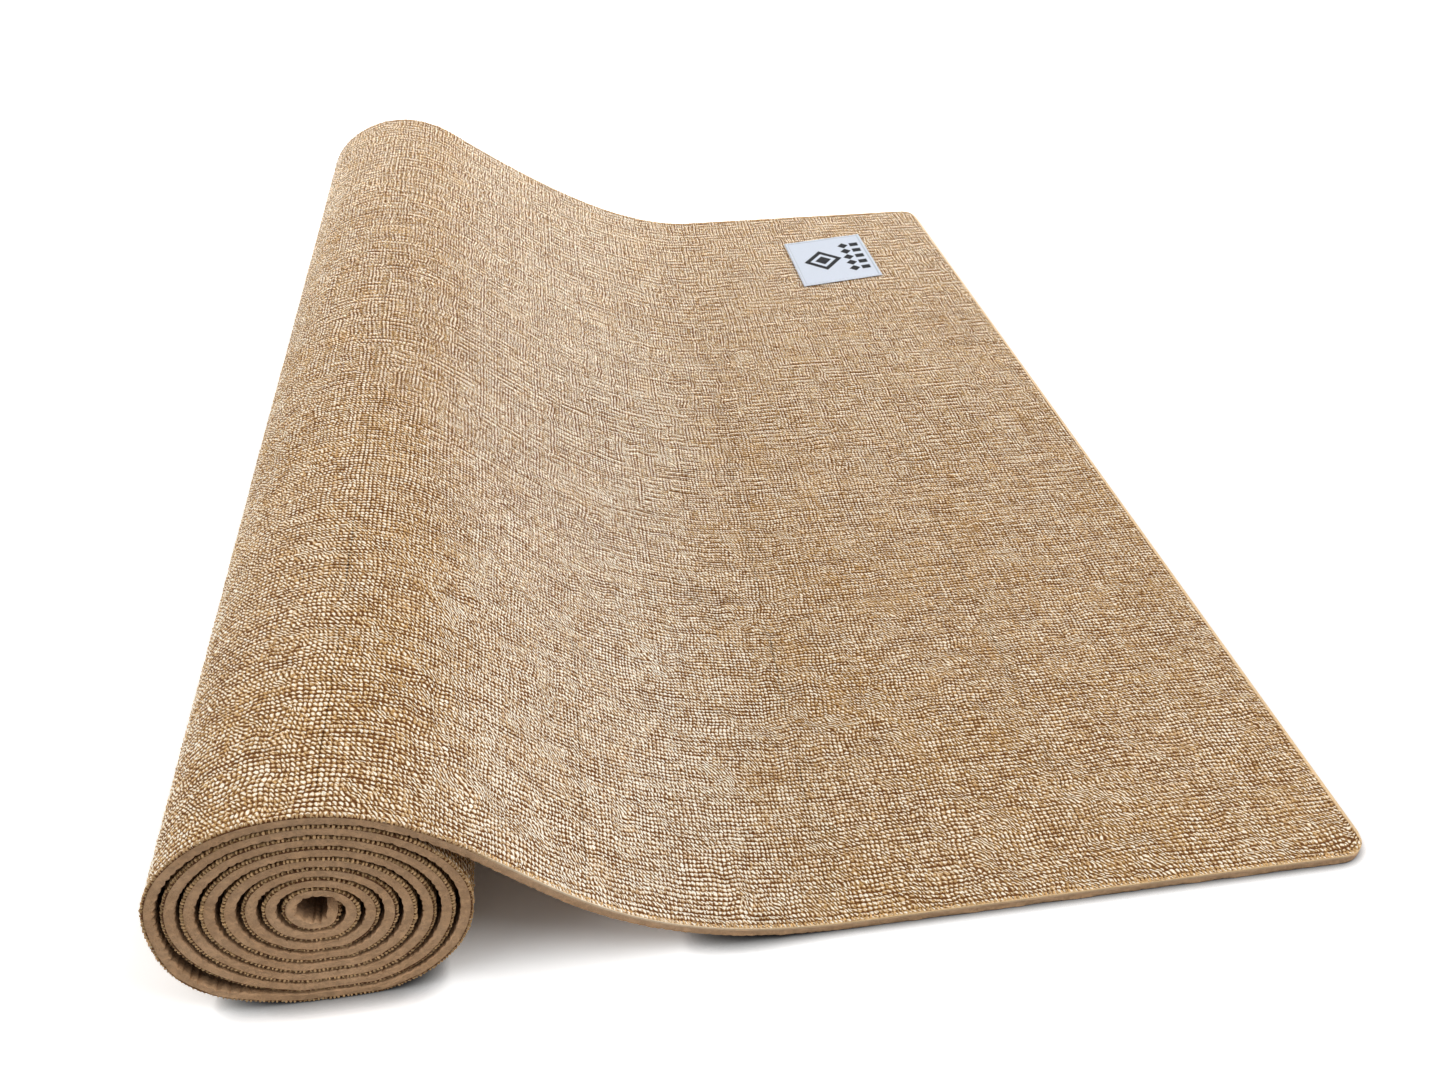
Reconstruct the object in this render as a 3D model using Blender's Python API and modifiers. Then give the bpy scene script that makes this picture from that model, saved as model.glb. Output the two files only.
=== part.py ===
"""A jute-faced yoga mat, part rolled up, with its free part laid flat.

The mat is one sheet of two bonded layers: foam below and woven jute above. It is drawn
as it is made and used: the line that the sheet follows is worked out first, and then
each layer is laid along that line at its own depth and given its thickness.

X runs along the sheet, from the roll to the free end. Y runs across it, and Z is up.
The origin is at the middle of the base, on the floor. All lengths are in metres.
"""

import math

import bmesh
import bpy

# The sheet: its width and its two layers, with the film of adhesive between them
MAT_WIDTH = 0.610
FOAM_THICKNESS = 0.0032
JUTE_THICKNESS = 0.0009
BOND_CLEARANCE = 0.0003
CORNER_RADIUS = 0.010

# The roll: the hollow at its core and the air between one turn and the next
CORE_WIDTH = 0.0050
CORE_HEIGHT = 0.0064
TURN_GAP_ACROSS = 0.0014
TURN_GAP_UP = 0.00055
LOOSE_TURN_BULGE = 0.0038

# The slope: how far from the roll's centre the sheet meets the floor, and how long it
# keeps its direction at the top and at the foot. The far edge comes down less steeply.
NEAR_SLOPE_REACH = 0.1752
NEAR_SLOPE_TOP = 0.042
NEAR_SLOPE_FOOT = 0.089
FAR_SLOPE_REACH = 0.1981
FAR_SLOPE_TOP = 0.094
FAR_SLOPE_FOOT = 0.039
ROLL_TO_FREE_END = 0.3677

# The label, a piece of satin ribbon with its edges folded over
LABEL_LENGTH = 0.0570
LABEL_WIDTH = 0.0690
LABEL_CLOTH = 0.0004
LABEL_HEM_WIDTH = 0.0022
LABEL_CLEARANCE = 0.0003
LABEL_FROM_FREE_END = 0.0798
LABEL_FROM_FAR_EDGE = 0.0792

# Angles in degrees, clockwise travel counted as negative, seen from the near edge
INNER_END_ANGLE = 25
LEAVING_ANGLE = 45
FLAT_HALF_ANGLE = 15
LABEL_SKEW = 10

# Counts
TURNS = 8
STATIONS_PER_TURN = 36
SLOPE_STATIONS = 16
CORNER_STATIONS = 5
HEM_PLIES = 2

# Worked out from the sizes above
SHEET_THICKNESS = FOAM_THICKNESS + BOND_CLEARANCE + JUTE_THICKNESS
PITCH_ACROSS = SHEET_THICKNESS + TURN_GAP_ACROSS
PITCH_UP = SHEET_THICKNESS + TURN_GAP_UP
CORE_HALF_WIDTH = (CORE_WIDTH + SHEET_THICKNESS) / 2
CORE_HALF_HEIGHT = (CORE_HEIGHT + SHEET_THICKNESS) / 2
STEP_ANGLE = 360 / STATIONS_PER_TURN
BOTTOM_ANGLE = 270

JUTE_COLOUR = (0.62, 0.46, 0.28, 1.0)
FOAM_COLOUR = (0.33, 0.22, 0.14, 1.0)
LABEL_COLOUR = (0.74, 0.78, 0.84, 1.0)


def clear_scene():
    """Remove every object, so that the model starts empty."""
    for old_object in list(bpy.data.objects):
        bpy.data.objects.remove(old_object, do_unlink=True)


def plain_material(name, colour, roughness):
    """A Principled material of one colour."""
    material = bpy.data.materials.new(name)
    material.use_nodes = True
    shader = material.node_tree.nodes["Principled BSDF"]
    shader.inputs["Base Color"].default_value = colour
    shader.inputs["Roughness"].default_value = roughness
    shader.inputs["Metallic"].default_value = 0.0
    return material


def winding_steps():
    """Each station's angle, and the turns that the roll has grown by there.

    The roll doesn't grow while the sheet crosses the flat that the roll rests on, so
    that every turn is level there, and makes up for it over the rest of the turn.
    """
    growing_angle = 360 - 2 * FLAT_HALF_ANGLE
    last_angle = LEAVING_ANGLE - 360 * TURNS
    steps = round((INNER_END_ANGLE - last_angle) / STEP_ANGLE)
    stations = []
    grown = 0.0
    for index in range(steps + 1):
        angle = INNER_END_ANGLE - index * STEP_ANGLE
        stations.append((angle, grown))
        middle = (angle - STEP_ANGLE / 2) % 360
        if abs(middle - BOTTOM_ANGLE) > FLAT_HALF_ANGLE:
            grown += STEP_ANGLE / growing_angle
    return stations


def bulge_at(angle):
    """How far the last, loose turn stands out at its lower left, away from the floor."""
    turn = angle % 360
    bulge_end = BOTTOM_ANGLE - FLAT_HALF_ANGLE
    in_last_turn = angle < -360 * (TURNS - 1)
    if not in_last_turn or not 180 < turn < bulge_end:
        return 0.0
    share = (turn - 180) / (bulge_end - 180)
    return LOOSE_TURN_BULGE * math.sin(math.pi * share) ** 2


def roll_line():
    """The middle of the sheet through the roll, about the roll's centre, as (x, z)."""
    flat_sine = math.cos(math.radians(FLAT_HALF_ANGLE))
    points = []
    for angle, grown in winding_steps():
        across = math.cos(math.radians(angle))
        up = math.sin(math.radians(angle))
        half_width = CORE_HALF_WIDTH + PITCH_ACROSS * grown
        half_height = CORE_HALF_HEIGHT + PITCH_UP * grown
        bulge = bulge_at(angle)
        drop = max(-1.0, up / flat_sine) if up < 0 else up
        points.append((half_width * across + bulge * across, half_height * drop + bulge * up))
    return points


def distance(first, second):
    return math.hypot(second[0] - first[0], second[1] - first[1])


def even_points(points, count):
    """The given number of points at even distances along a line, without its start."""
    lengths = [0.0]
    for first, second in zip(points, points[1:]):
        lengths.append(lengths[-1] + distance(first, second))
    even = []
    index = 0
    for step in range(1, count + 1):
        target = lengths[-1] * step / count
        while lengths[index + 1] < target and index < len(lengths) - 2:
            index += 1
        share = (target - lengths[index]) / (lengths[index + 1] - lengths[index])
        start, end = points[index], points[index + 1]
        even.append((start[0] + share * (end[0] - start[0]), start[1] + share * (end[1] - start[1])))
    return even


def slope_line(start, heading, foot, top_length, foot_length):
    """A smooth run from the roll, leaving it along its heading, to level on the floor."""
    first = (start[0] + heading[0] * top_length, start[1] + heading[1] * top_length)
    second = (foot[0] - foot_length, foot[1])
    fine_steps = SLOPE_STATIONS * SLOPE_STATIONS
    curve = []
    for step in range(fine_steps + 1):
        share = step / fine_steps
        rest = 1 - share
        weights = (rest ** 3, 3 * rest ** 2 * share, 3 * rest * share ** 2, share ** 3)
        corners = (start, first, second, foot)
        x = sum(weight * corner[0] for weight, corner in zip(weights, corners))
        z = sum(weight * corner[1] for weight, corner in zip(weights, corners))
        curve.append((x, z))
    return even_points(curve, SLOPE_STATIONS)


def sheet_line(reach, top_length, foot_length):
    """The middle of the whole sheet, from its inner end to its free end, as (x, z)."""
    wound = roll_line()
    lift = SHEET_THICKNESS / 2 - min(z for _, z in wound)
    wound = [(x, z + lift) for x, z in wound]
    last_step = distance(wound[-2], wound[-1])
    heading = ((wound[-1][0] - wound[-2][0]) / last_step, (wound[-1][1] - wound[-2][1]) / last_step)
    floor_level = SHEET_THICKNESS / 2
    slope = slope_line(wound[-1], heading, (reach, floor_level), top_length, foot_length)
    laid = []
    for step in range(CORNER_STATIONS + 1):
        turn = math.radians(90 * step / CORNER_STATIONS)
        laid.append((ROLL_TO_FREE_END - CORNER_RADIUS * (1 - math.sin(turn)), floor_level))
    return wound + slope + laid


def offset_line(points, offset):
    """A line beside another, with mitred corners, so that straight runs stay parallel.

    A positive offset is on the jute's side, which faces outwards on every turn.
    """
    normals = []
    for first, second in zip(points, points[1:]):
        length = distance(first, second)
        normals.append(((first[1] - second[1]) / length, (second[0] - first[0]) / length))
    moved = []
    for index, (x, z) in enumerate(points):
        before = normals[max(index - 1, 0)]
        after = normals[min(index, len(normals) - 1)]
        spread = 1 + before[0] * after[0] + before[1] * after[1]
        x += offset * (before[0] + after[0]) / spread
        z += offset * (before[1] + after[1]) / spread
        moved.append((x, z))
    return moved


def half_widths(points):
    """Half the sheet's width at each station, rounded off towards both ends."""
    lengths = [0.0]
    for first, second in zip(points, points[1:]):
        lengths.append(lengths[-1] + distance(first, second))
    widths = []
    for length in lengths:
        to_end = min(length, lengths[-1] - length)
        inward = max(0.0, CORNER_RADIUS - to_end)
        inset = CORNER_RADIUS - math.sqrt(max(0.0, CORNER_RADIUS ** 2 - inward ** 2))
        widths.append(MAT_WIDTH / 2 - inset)
    return widths


def least_gap(points):
    """The least clear distance between the sheet and its own other turns."""
    along = STATIONS_PER_TURN // 2
    least = math.inf
    for index, (x, z) in enumerate(points):
        for start in range(index + along, len(points) - 1):
            first, second = points[start], points[start + 1]
            run = (second[0] - first[0], second[1] - first[1])
            share = ((x - first[0]) * run[0] + (z - first[1]) * run[1]) / (run[0] ** 2 + run[1] ** 2)
            share = min(1.0, max(0.0, share))
            nearest = (first[0] + share * run[0], first[1] + share * run[1])
            least = min(least, distance((x, z), nearest))
    return least - SHEET_THICKNESS


def finish_object(name, mesh, material, collection):
    """Put a mesh into the collection under its name, with its material and smooth shading."""
    mesh.materials.append(material)
    mesh.shade_smooth()
    mesh.set_sharp_from_angle(angle=math.radians(30))
    made = bpy.data.objects.new(name, mesh)
    collection.objects.link(made)
    return made


def sheet_layer(name, near_line, far_line, widths, thickness, material, collection):
    """One layer of the sheet: a ribbon along the line, thickened into a shell.

    The ribbon is the layer's outer face. A positive thickness grows against its normal,
    which points to the jute's side.
    """
    shape = bmesh.new()
    near_row = [shape.verts.new((x, -width, z)) for (x, z), width in zip(near_line, widths)]
    far_row = [shape.verts.new((x, width, z)) for (x, z), width in zip(far_line, widths)]
    for index in range(len(near_row) - 1):
        near_now, near_next = near_row[index], near_row[index + 1]
        far_now, far_next = far_row[index], far_row[index + 1]
        shape.faces.new((near_now, near_next, far_next))
        shape.faces.new((near_now, far_next, far_now))
    mesh = bpy.data.meshes.new(name)
    shape.to_mesh(mesh)
    shape.free()
    layer = finish_object(name, mesh, material, collection)
    shell = layer.modifiers.new("thickness", "SOLIDIFY")
    shell.thickness = abs(thickness)
    shell.offset = math.copysign(1, -thickness)
    shell.use_even_offset = True
    shell.use_quality_normals = True
    return layer


def woven_label(material, collection, free_end):
    """The label: a ribbon a little out of square, with a raised hem folded all round."""
    hem_height = LABEL_CLOTH * HEM_PLIES
    shape = bmesh.new()
    bmesh.ops.create_cube(shape, size=1)
    bmesh.ops.scale(shape, vec=(LABEL_LENGTH, LABEL_WIDTH, hem_height), verts=shape.verts)
    top = max(shape.faces, key=lambda face: face.calc_center_median().z)
    bmesh.ops.inset_region(shape, faces=[top], thickness=LABEL_HEM_WIDTH)
    for vertex in top.verts:
        vertex.co.z = LABEL_CLOTH - hem_height / 2
    for vertex in shape.verts:
        vertex.co.y += vertex.co.x * math.tan(math.radians(LABEL_SKEW))
    mesh = bpy.data.meshes.new("woven_label")
    shape.to_mesh(mesh)
    shape.free()
    label = finish_object("woven_label", mesh, material, collection)
    label.location.x = free_end - LABEL_FROM_FREE_END
    label.location.y = MAT_WIDTH / 2 - LABEL_FROM_FAR_EDGE
    label.location.z = SHEET_THICKNESS + LABEL_CLEARANCE + hem_height / 2
    return label


def build_mat():
    """Make the mat's pieces in a collection of their own."""
    clear_scene()
    collection = bpy.data.collections.new("yoga_mat")
    bpy.context.scene.collection.children.link(collection)

    near = sheet_line(NEAR_SLOPE_REACH, NEAR_SLOPE_TOP, NEAR_SLOPE_FOOT)
    far = sheet_line(FAR_SLOPE_REACH, FAR_SLOPE_TOP, FAR_SLOPE_FOOT)
    print("least gap between turns, near edge, mm:", round(least_gap(near) * 1000, 3))
    print("least gap between turns, far edge, mm:", round(least_gap(far) * 1000, 3))

    outermost = min(x for x, _ in offset_line(near, SHEET_THICKNESS / 2))
    centring = -(outermost + ROLL_TO_FREE_END) / 2
    near = [(x + centring, z) for x, z in near]
    far = [(x + centring, z) for x, z in far]
    widths = half_widths(near)

    foam_material = plain_material("foam_rubber", FOAM_COLOUR, 0.85)
    jute_material = plain_material("jute_weave", JUTE_COLOUR, 0.9)
    label_material = plain_material("label_satin", LABEL_COLOUR, 0.4)

    underside = -SHEET_THICKNESS / 2
    sheet_layer("foam_base", offset_line(near, underside), offset_line(far, underside),
                widths, -FOAM_THICKNESS, foam_material, collection)
    face = SHEET_THICKNESS / 2
    sheet_layer("jute_face", offset_line(near, face), offset_line(far, face),
                widths, JUTE_THICKNESS, jute_material, collection)
    woven_label(label_material, collection, ROLL_TO_FREE_END + centring)


build_mat()
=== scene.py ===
"""Looks of a jute-faced yoga mat, part rolled up and part laid flat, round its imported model.

The mat is one sheet: brown foam below and woven jute above. Both layers follow the same
line, wound into a roll, coming down a slope and lying on the floor. The jute is drawn yarn
by yarn: every crossing of a long yarn and a cross yarn is a bead of relief of its own.

X runs along the sheet, from the roll to the free end, Y across it and Z up, in metres.
Travel is the distance along the sheet from its inner end. Depth is the distance from the
middle of the sheet's thickness, counted towards the jute.
"""

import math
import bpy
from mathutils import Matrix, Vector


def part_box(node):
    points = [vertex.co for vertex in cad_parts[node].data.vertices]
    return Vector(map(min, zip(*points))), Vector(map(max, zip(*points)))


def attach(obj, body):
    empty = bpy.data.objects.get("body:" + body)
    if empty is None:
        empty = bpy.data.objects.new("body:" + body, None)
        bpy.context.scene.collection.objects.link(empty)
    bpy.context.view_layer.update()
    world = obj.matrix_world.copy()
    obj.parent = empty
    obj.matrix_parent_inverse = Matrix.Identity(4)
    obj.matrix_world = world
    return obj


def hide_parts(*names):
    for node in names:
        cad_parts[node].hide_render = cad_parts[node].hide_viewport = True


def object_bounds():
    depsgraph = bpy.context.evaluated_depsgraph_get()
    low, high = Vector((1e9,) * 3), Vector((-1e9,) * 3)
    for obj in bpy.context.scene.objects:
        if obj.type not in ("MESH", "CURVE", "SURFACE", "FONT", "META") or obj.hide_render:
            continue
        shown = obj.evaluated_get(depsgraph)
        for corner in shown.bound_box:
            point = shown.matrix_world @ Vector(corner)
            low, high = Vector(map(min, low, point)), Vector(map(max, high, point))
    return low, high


bl_info = {
    "name": "Jute Yoga Mat",
    "version": (1, 0, 0),
    "blender": (4, 5, 0),
    "location": "3D View > Sidebar > Yoga Mat",
    "description": "Builds a part-rolled jute yoga mat with its foam, weave and sewn label",
    "category": "Object",
}

import bpy
import numpy as np
from bpy.props import FloatProperty, FloatVectorProperty, IntProperty, PointerProperty
from mathutils import Matrix

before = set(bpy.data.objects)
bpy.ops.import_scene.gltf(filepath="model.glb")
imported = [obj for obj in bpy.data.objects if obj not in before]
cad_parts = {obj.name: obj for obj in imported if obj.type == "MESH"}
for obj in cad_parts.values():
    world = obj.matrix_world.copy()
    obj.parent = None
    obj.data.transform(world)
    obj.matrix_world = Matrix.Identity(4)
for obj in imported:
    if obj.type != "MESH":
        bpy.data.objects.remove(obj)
CAD_LOW, CAD_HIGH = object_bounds()
MM = 0.001
BODY = "root"


def length(name, default, description):
    """A length that a user would change, in metres."""
    return FloatProperty(name=name, description=description, default=default, unit="LENGTH", precision=5)


def colour(name, default, description):
    """A colour that a user would change, linear and without alpha."""
    return FloatVectorProperty(name=name, description=description, default=default, subtype="COLOR",
                               size=3, min=0.0, max=1.0)


def level(name, default, description):
    """The level of a light, which is what it gives a surface that faces it."""
    return FloatProperty(name=name, description=description, default=default, min=0.0)


class MatSheetSizes(bpy.types.PropertyGroup):
    """Sizes of the sheet, its roll and its slope."""

    width: length("Width", round(CAD_HIGH.y - CAD_LOW.y, 3), "Width of the mat")
    foam: length("Foam", 3.2 * MM, "Thickness of the foam")
    jute: length("Jute", 1.2 * MM, "Thickness of the woven jute with its film of adhesive")
    corner: length("Corner radius", 10 * MM, "Radius of the rounded corners")
    core_width: length("Core width", 5.0 * MM, "Width of the hollow in the roll")
    core_height: length("Core height", 6.4 * MM, "Height of the hollow in the roll")
    gap_across: length("Gap across", 1.4 * MM, "Air between turns at the roll's sides")
    gap_up: length("Gap up", 0.55 * MM, "Air between turns above and below")
    bulge: length("Loose bulge", 3.8 * MM, "How far the loose last turn stands out")
    turns: IntProperty(name="Turns", description="Turns in the roll", default=8, min=1, max=12)
    near_reach: length("Near reach", 175.2 * MM, "Roll's centre to the slope's foot, near edge")
    near_top: length("Near top", 42 * MM, "How long the near edge keeps its heading at the top")
    near_foot: length("Near foot", 89 * MM, "How long the near edge runs level at the foot")
    far_reach: length("Far reach", 198.1 * MM, "Roll's centre to the slope's foot, far edge")
    far_top: length("Far top", 94 * MM, "How long the far edge keeps its heading at the top")
    far_foot: length("Far foot", 39 * MM, "How long the far edge runs level at the foot")
    free_end: length("Free end", 367.7 * MM, "Roll's centre to the free end")
    lift: length("Lift", 2.2 * MM, "How far the hollow has crept up, which closes the turns above it")
    sway: length("Sway", 0.35 * MM, "How unevenly the turns lie")


class MatWeaveSizes(bpy.types.PropertyGroup):
    """Sizes of the jute weave and of the foam's relief."""

    long_pitch: length("Long pitch", 1.85 * MM, "Distance between yarns that run along the mat")
    cross_pitch: length("Cross pitch", 1.62 * MM, "Distance between yarns that run across the mat")
    relief: length("Relief", 0.8 * MM, "Height of a bead over the gap beside it")
    end_pitch: length("Yarn end pitch", 1.36 * MM, "Distance between cut yarns along an edge")
    crease_pitch: length("Crease pitch", 3.5 * MM, "Distance between creases in the foam")
    crease_depth: length("Crease depth", 0.65 * MM, "Depth of the creases in the foam")


class MatLabelSizes(bpy.types.PropertyGroup):
    """Sizes of the sewn label."""

    hem: length("Hem", 2.2 * MM, "Width of the folded hem")
    cloth: length("Cloth", 0.4 * MM, "Thickness of the ribbon")
    skew: FloatProperty(name="Skew", description="How far the label is out of square",
                        default=math.radians(10), unit="ROTATION")
    stitch_pitch: length("Stitch pitch", 2.9 * MM, "Distance between stitches")
    stitch_long: length("Stitch length", 1.9 * MM, "Length of a stitch")
    stitch_thick: length("Thread", 0.32 * MM, "Thickness of the sewing thread")


class MatColours(bpy.types.PropertyGroup):
    """Colours of the mat's materials."""

    jute: colour("Jute", (0.675, 0.428, 0.192), "Body of the yarns")
    golden: colour("Golden", (0.63, 0.38, 0.142), "Yarns with more of the raw golden fibre")
    # pale and bleached are painted light: the paler body and crests of the yarns down the slope and towards
    # the far edge. pale is also the colour of the pressed rim.
    pale: colour("Pale jute", (0.84, 0.61, 0.37), "Body of the yarns down the slope")
    # cream is partly the paler tops of the yarns and partly painted highlight.
    cream: colour("Cream", (0.98, 0.90, 0.76), "Rubbed crests of the yarns")
    slope_highlight: colour("Bleached", (0.99, 0.93, 0.81), "Rubbed crests down the slope")
    gap: colour("Gap", (0.145, 0.053, 0.014), "Shaded gaps between yarns")
    cut: colour("Cut yarn", (0.51, 0.33, 0.17), "Cut ends of the yarns in the roll")
    foam: colour("Foam", (0.54, 0.325, 0.175), "Foam rubber")
    foam_pale: colour("Pale foam", (0.64, 0.41, 0.24), "Paler clouds in the foam")
    rubbed: colour("Rubbed foam", (0.62, 0.41, 0.26), "Cut edge of the foam beside the jute")
    shade: colour("Shade", (0.15, 0.08, 0.04), "Foam deep between the turns")
    label: colour("Label", (0.67, 0.715, 0.80), "Satin ribbon")
    motif: colour("Motif", (0.012, 0.012, 0.014), "Woven ornament on the label")
    thread: colour("Thread", (0.80, 0.84, 0.90), "Sewing thread")


class MatStageSettings(bpy.types.PropertyGroup):
    """The floor, the light and the camera."""

    right: level("Right light", 0.90, "Level of the light from the right")
    left: level("Left light", 0.91, "Level of the low light from the left")
    top: level("Top light", 0.17, "Level of the light from above")
    around: level("Around", 0.18, "Level of the light from all around")
    lens: FloatProperty(name="Lens", description="Focal length in millimetres", default=30.33, min=1.0)


def smooth_step(share):
    """Eases a share from 0 to 1 in and out."""
    share = np.clip(share, 0.0, 1.0)
    return share * share * (3 - 2 * share)


LATTICE_SIZE = (4096, 1024)
LATTICE_MARGIN = 64


def lumps(along, across, spacing, seed):
    """Smooth noise from -1 to 1 at each place, with its lumps a given spacing apart both ways."""
    lattice = np.random.default_rng(seed).uniform(-1, 1, LATTICE_SIZE).astype(np.float32)
    places = np.broadcast_arrays(np.asarray(along, float), np.asarray(across, float))
    cells, shares = [], []
    for place, step, size in zip(places, spacing, LATTICE_SIZE):
        cell = np.floor(place / step).astype(int)
        shares.append(smooth_step(place / step - cell))
        cells.append((cell + LATTICE_MARGIN) % (size - 1))
    row, column = cells
    row_share, column_share = shares
    low = lattice[row, column] * (1 - column_share) + lattice[row, column + 1] * column_share
    high = lattice[row + 1, column] * (1 - column_share) + lattice[row + 1, column + 1] * column_share
    return low * (1 - row_share) + high * row_share


class SheetLine:
    """The line that the sheet follows along its near and far edges, finely sampled.

    Angles are in degrees round the roll's centre, from the free end's side and up over the top.
    """

    FULL_TURN = 360
    BACK_ANGLE = 180
    FLOOR_ANGLE = 270
    FLAT_HALF_ANGLE = 15.0
    INNER_END_ANGLE = 25.0
    LEAVING_ANGLE = 45.0
    HEADING_STEP = 10.0
    STEPS_PER_DEGREE = 4
    CURVE_STEPS = 800
    EASED_REACH = 10 * MM
    EASING_POINTS = 9
    CORNER_ROOM = 30 * MM
    SWAY_LEANS = (9, -11)
    SWAY_STRETCH = 40
    SWAY_RISE, SWAY_END = 6 * MM, 20 * MM

    def __init__(self, sizes):
        self.sizes = sizes
        self.thickness = sizes.foam + sizes.jute
        near = self.edge_line(sizes.near_reach, sizes.near_top, sizes.near_foot)
        far = self.edge_line(sizes.far_reach, sizes.far_top, sizes.far_foot)
        centring = CAD_HIGH.x - near[-1, 0]
        near[:, 0] += centring
        far[:, 0] += centring
        self.travel = self.run_along((near + far) / 2)
        self.near, self.far = near, far
        self.near_way, self.far_way = self.headings(near), self.headings(far)
        self.total = self.travel[-1]
        self.leaving = self.travel[self.wound_points - 1]
        self.foot = self.travel[self.wound_points - 1 + self.CURVE_STEPS]
        self.last_turn = self.travel[self.wound_points - 1 - self.FULL_TURN * self.STEPS_PER_DEGREE]

    def winding(self):
        """Fine angles through the roll and the turns that it has grown by at each."""
        last = self.LEAVING_ANGLE - self.FULL_TURN * self.sizes.turns
        count = round((self.INNER_END_ANGLE - last) * self.STEPS_PER_DEGREE)
        angles = np.linspace(self.INNER_END_ANGLE, last, count + 1)
        middles = (angles[:-1] + angles[1:]) / 2 % self.FULL_TURN
        grows = np.abs(middles - self.FLOOR_ANGLE) > self.FLAT_HALF_ANGLE
        growing_angle = self.FULL_TURN - 2 * self.FLAT_HALF_ANGLE
        grown = np.concatenate([[0.0], np.cumsum(grows / self.STEPS_PER_DEGREE / growing_angle)])
        return angles, grown

    def roll_line(self):
        """The middle of the sheet through the roll, about its centre, as rows of (x, z)."""
        sizes = self.sizes
        angles, grown = self.winding()
        turn = angles % self.FULL_TURN
        across, up = np.cos(np.radians(angles)), np.sin(np.radians(angles))
        half_width = (sizes.core_width + self.thickness) / 2 + (self.thickness + sizes.gap_across) * grown
        half_height = (sizes.core_height + self.thickness) / 2 + (self.thickness + sizes.gap_up) * grown
        bulge_end = self.FLOOR_ANGLE - self.FLAT_HALF_ANGLE
        in_last_turn = angles < self.FULL_TURN * (1 - sizes.turns)
        loose = in_last_turn & (turn > self.BACK_ANGLE) & (turn < bulge_end)
        share = np.where(loose, (turn - self.BACK_ANGLE) / (bulge_end - self.BACK_ANGLE), 0.0)
        bulge = sizes.bulge * np.sin(np.pi * share) ** 2
        flattened = np.maximum(-1.0, up / math.cos(math.radians(self.FLAT_HALF_ANGLE)))
        drop = np.where(up < 0, flattened, up)
        lift = sizes.lift * (1 - grown / grown[-1])
        return np.stack([(half_width + bulge) * across, half_height * drop + bulge * up + lift], axis=1)

    def edge_line(self, reach, top_length, foot_length):
        """The middle of the whole sheet at one edge: the roll, the slope and the laid part."""
        wound = self.roll_line()
        wound[:, 1] += self.thickness / 2 - wound[:, 1].min()
        self.wound_points = len(wound)
        before = wound[-1 - round(self.HEADING_STEP * self.STEPS_PER_DEGREE)]
        heading = (wound[-1] - before) / np.linalg.norm(wound[-1] - before)
        floor_level = self.thickness / 2
        start, foot = wound[-1], np.array([reach, floor_level])
        corners = (start, start + heading * top_length, foot - np.array([foot_length, 0.0]), foot)
        share = np.linspace(0, 1, self.CURVE_STEPS + 1)[:, None]
        rest = 1 - share
        weights = (rest ** 3, 3 * rest ** 2 * share, 3 * rest * share ** 2, share ** 3)
        curve = sum(weight * corner for weight, corner in zip(weights, corners))
        run = self.run_along(curve)
        even = np.linspace(0, run[-1], self.CURVE_STEPS + 1)[1:]
        slope = np.stack([np.interp(even, run, curve[:, 0]), np.interp(even, run, curve[:, 1])], axis=1)
        laid_x = np.linspace(reach, self.sizes.free_end, self.CURVE_STEPS + 1)[1:]
        laid = np.stack([laid_x, np.full_like(laid_x, floor_level)], axis=1)
        return self.eased(np.vstack([wound, slope, laid]))

    def eased(self, points):
        """The line with the slight kink where the sheet leaves the roll rounded off."""
        reach, kept = self.EASED_REACH, points.copy()
        run = self.run_along(points)
        middle = run[self.wound_points - 1]
        for index in np.flatnonzero(np.abs(run - middle) < 2 * reach):
            away = abs(run[index] - middle) / (2 * reach)
            near_by = np.linspace(run[index] - reach / 2, run[index] + reach / 2, self.EASING_POINTS)
            mean = [np.interp(near_by, run, points[:, axis]).mean() for axis in (0, 1)]
            kept[index] += (np.array(mean) - points[index]) * (1 - smooth_step(away))
        return kept

    @staticmethod
    def run_along(points):
        """The distance along the line from its first point to each of its points."""
        return np.concatenate([[0.0], np.cumsum(np.linalg.norm(np.diff(points, axis=0), axis=1))])

    @staticmethod
    def headings(points):
        """The unit direction of the line at each of its points."""
        ways = np.gradient(points, axis=0)
        return ways / np.linalg.norm(ways, axis=1, keepdims=True)

    def half_width(self, travel):
        """Half the mat's width at a travel, less towards both ends for the round corners."""
        radius = self.sizes.corner
        to_end = np.minimum(travel, self.total - travel)
        inward = np.clip(radius - to_end, 0.0, radius)
        return self.sizes.width / 2 - (radius - np.sqrt(radius ** 2 - inward ** 2))

    def fitted(self, travel, across):
        """A place across the sheet, drawn in where the corners are round."""
        inset = self.sizes.width / 2 - self.half_width(travel)
        near_edge = smooth_step(1 - (self.sizes.width / 2 - np.abs(across)) / self.CORNER_ROOM)
        return across - np.sign(across) * inset * near_edge

    def place(self, travel, across, depth):
        """Points in the frame for places on the sheet, as an array with (x, y, z) last."""
        travel, across, depth = np.broadcast_arrays(travel, across, depth)
        at = np.clip(travel, 0.0, self.total)
        share = across / self.sizes.width + 0.5

        def between_edges(near, far, axis):
            """A value across the mat and its slope, from the lines at both edges."""
            first, last = [np.interp(at, self.travel, edge[:, axis]) for edge in (near, far)]
            return first * (1 - share) + last * share, (last - first) / self.sizes.width

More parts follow.
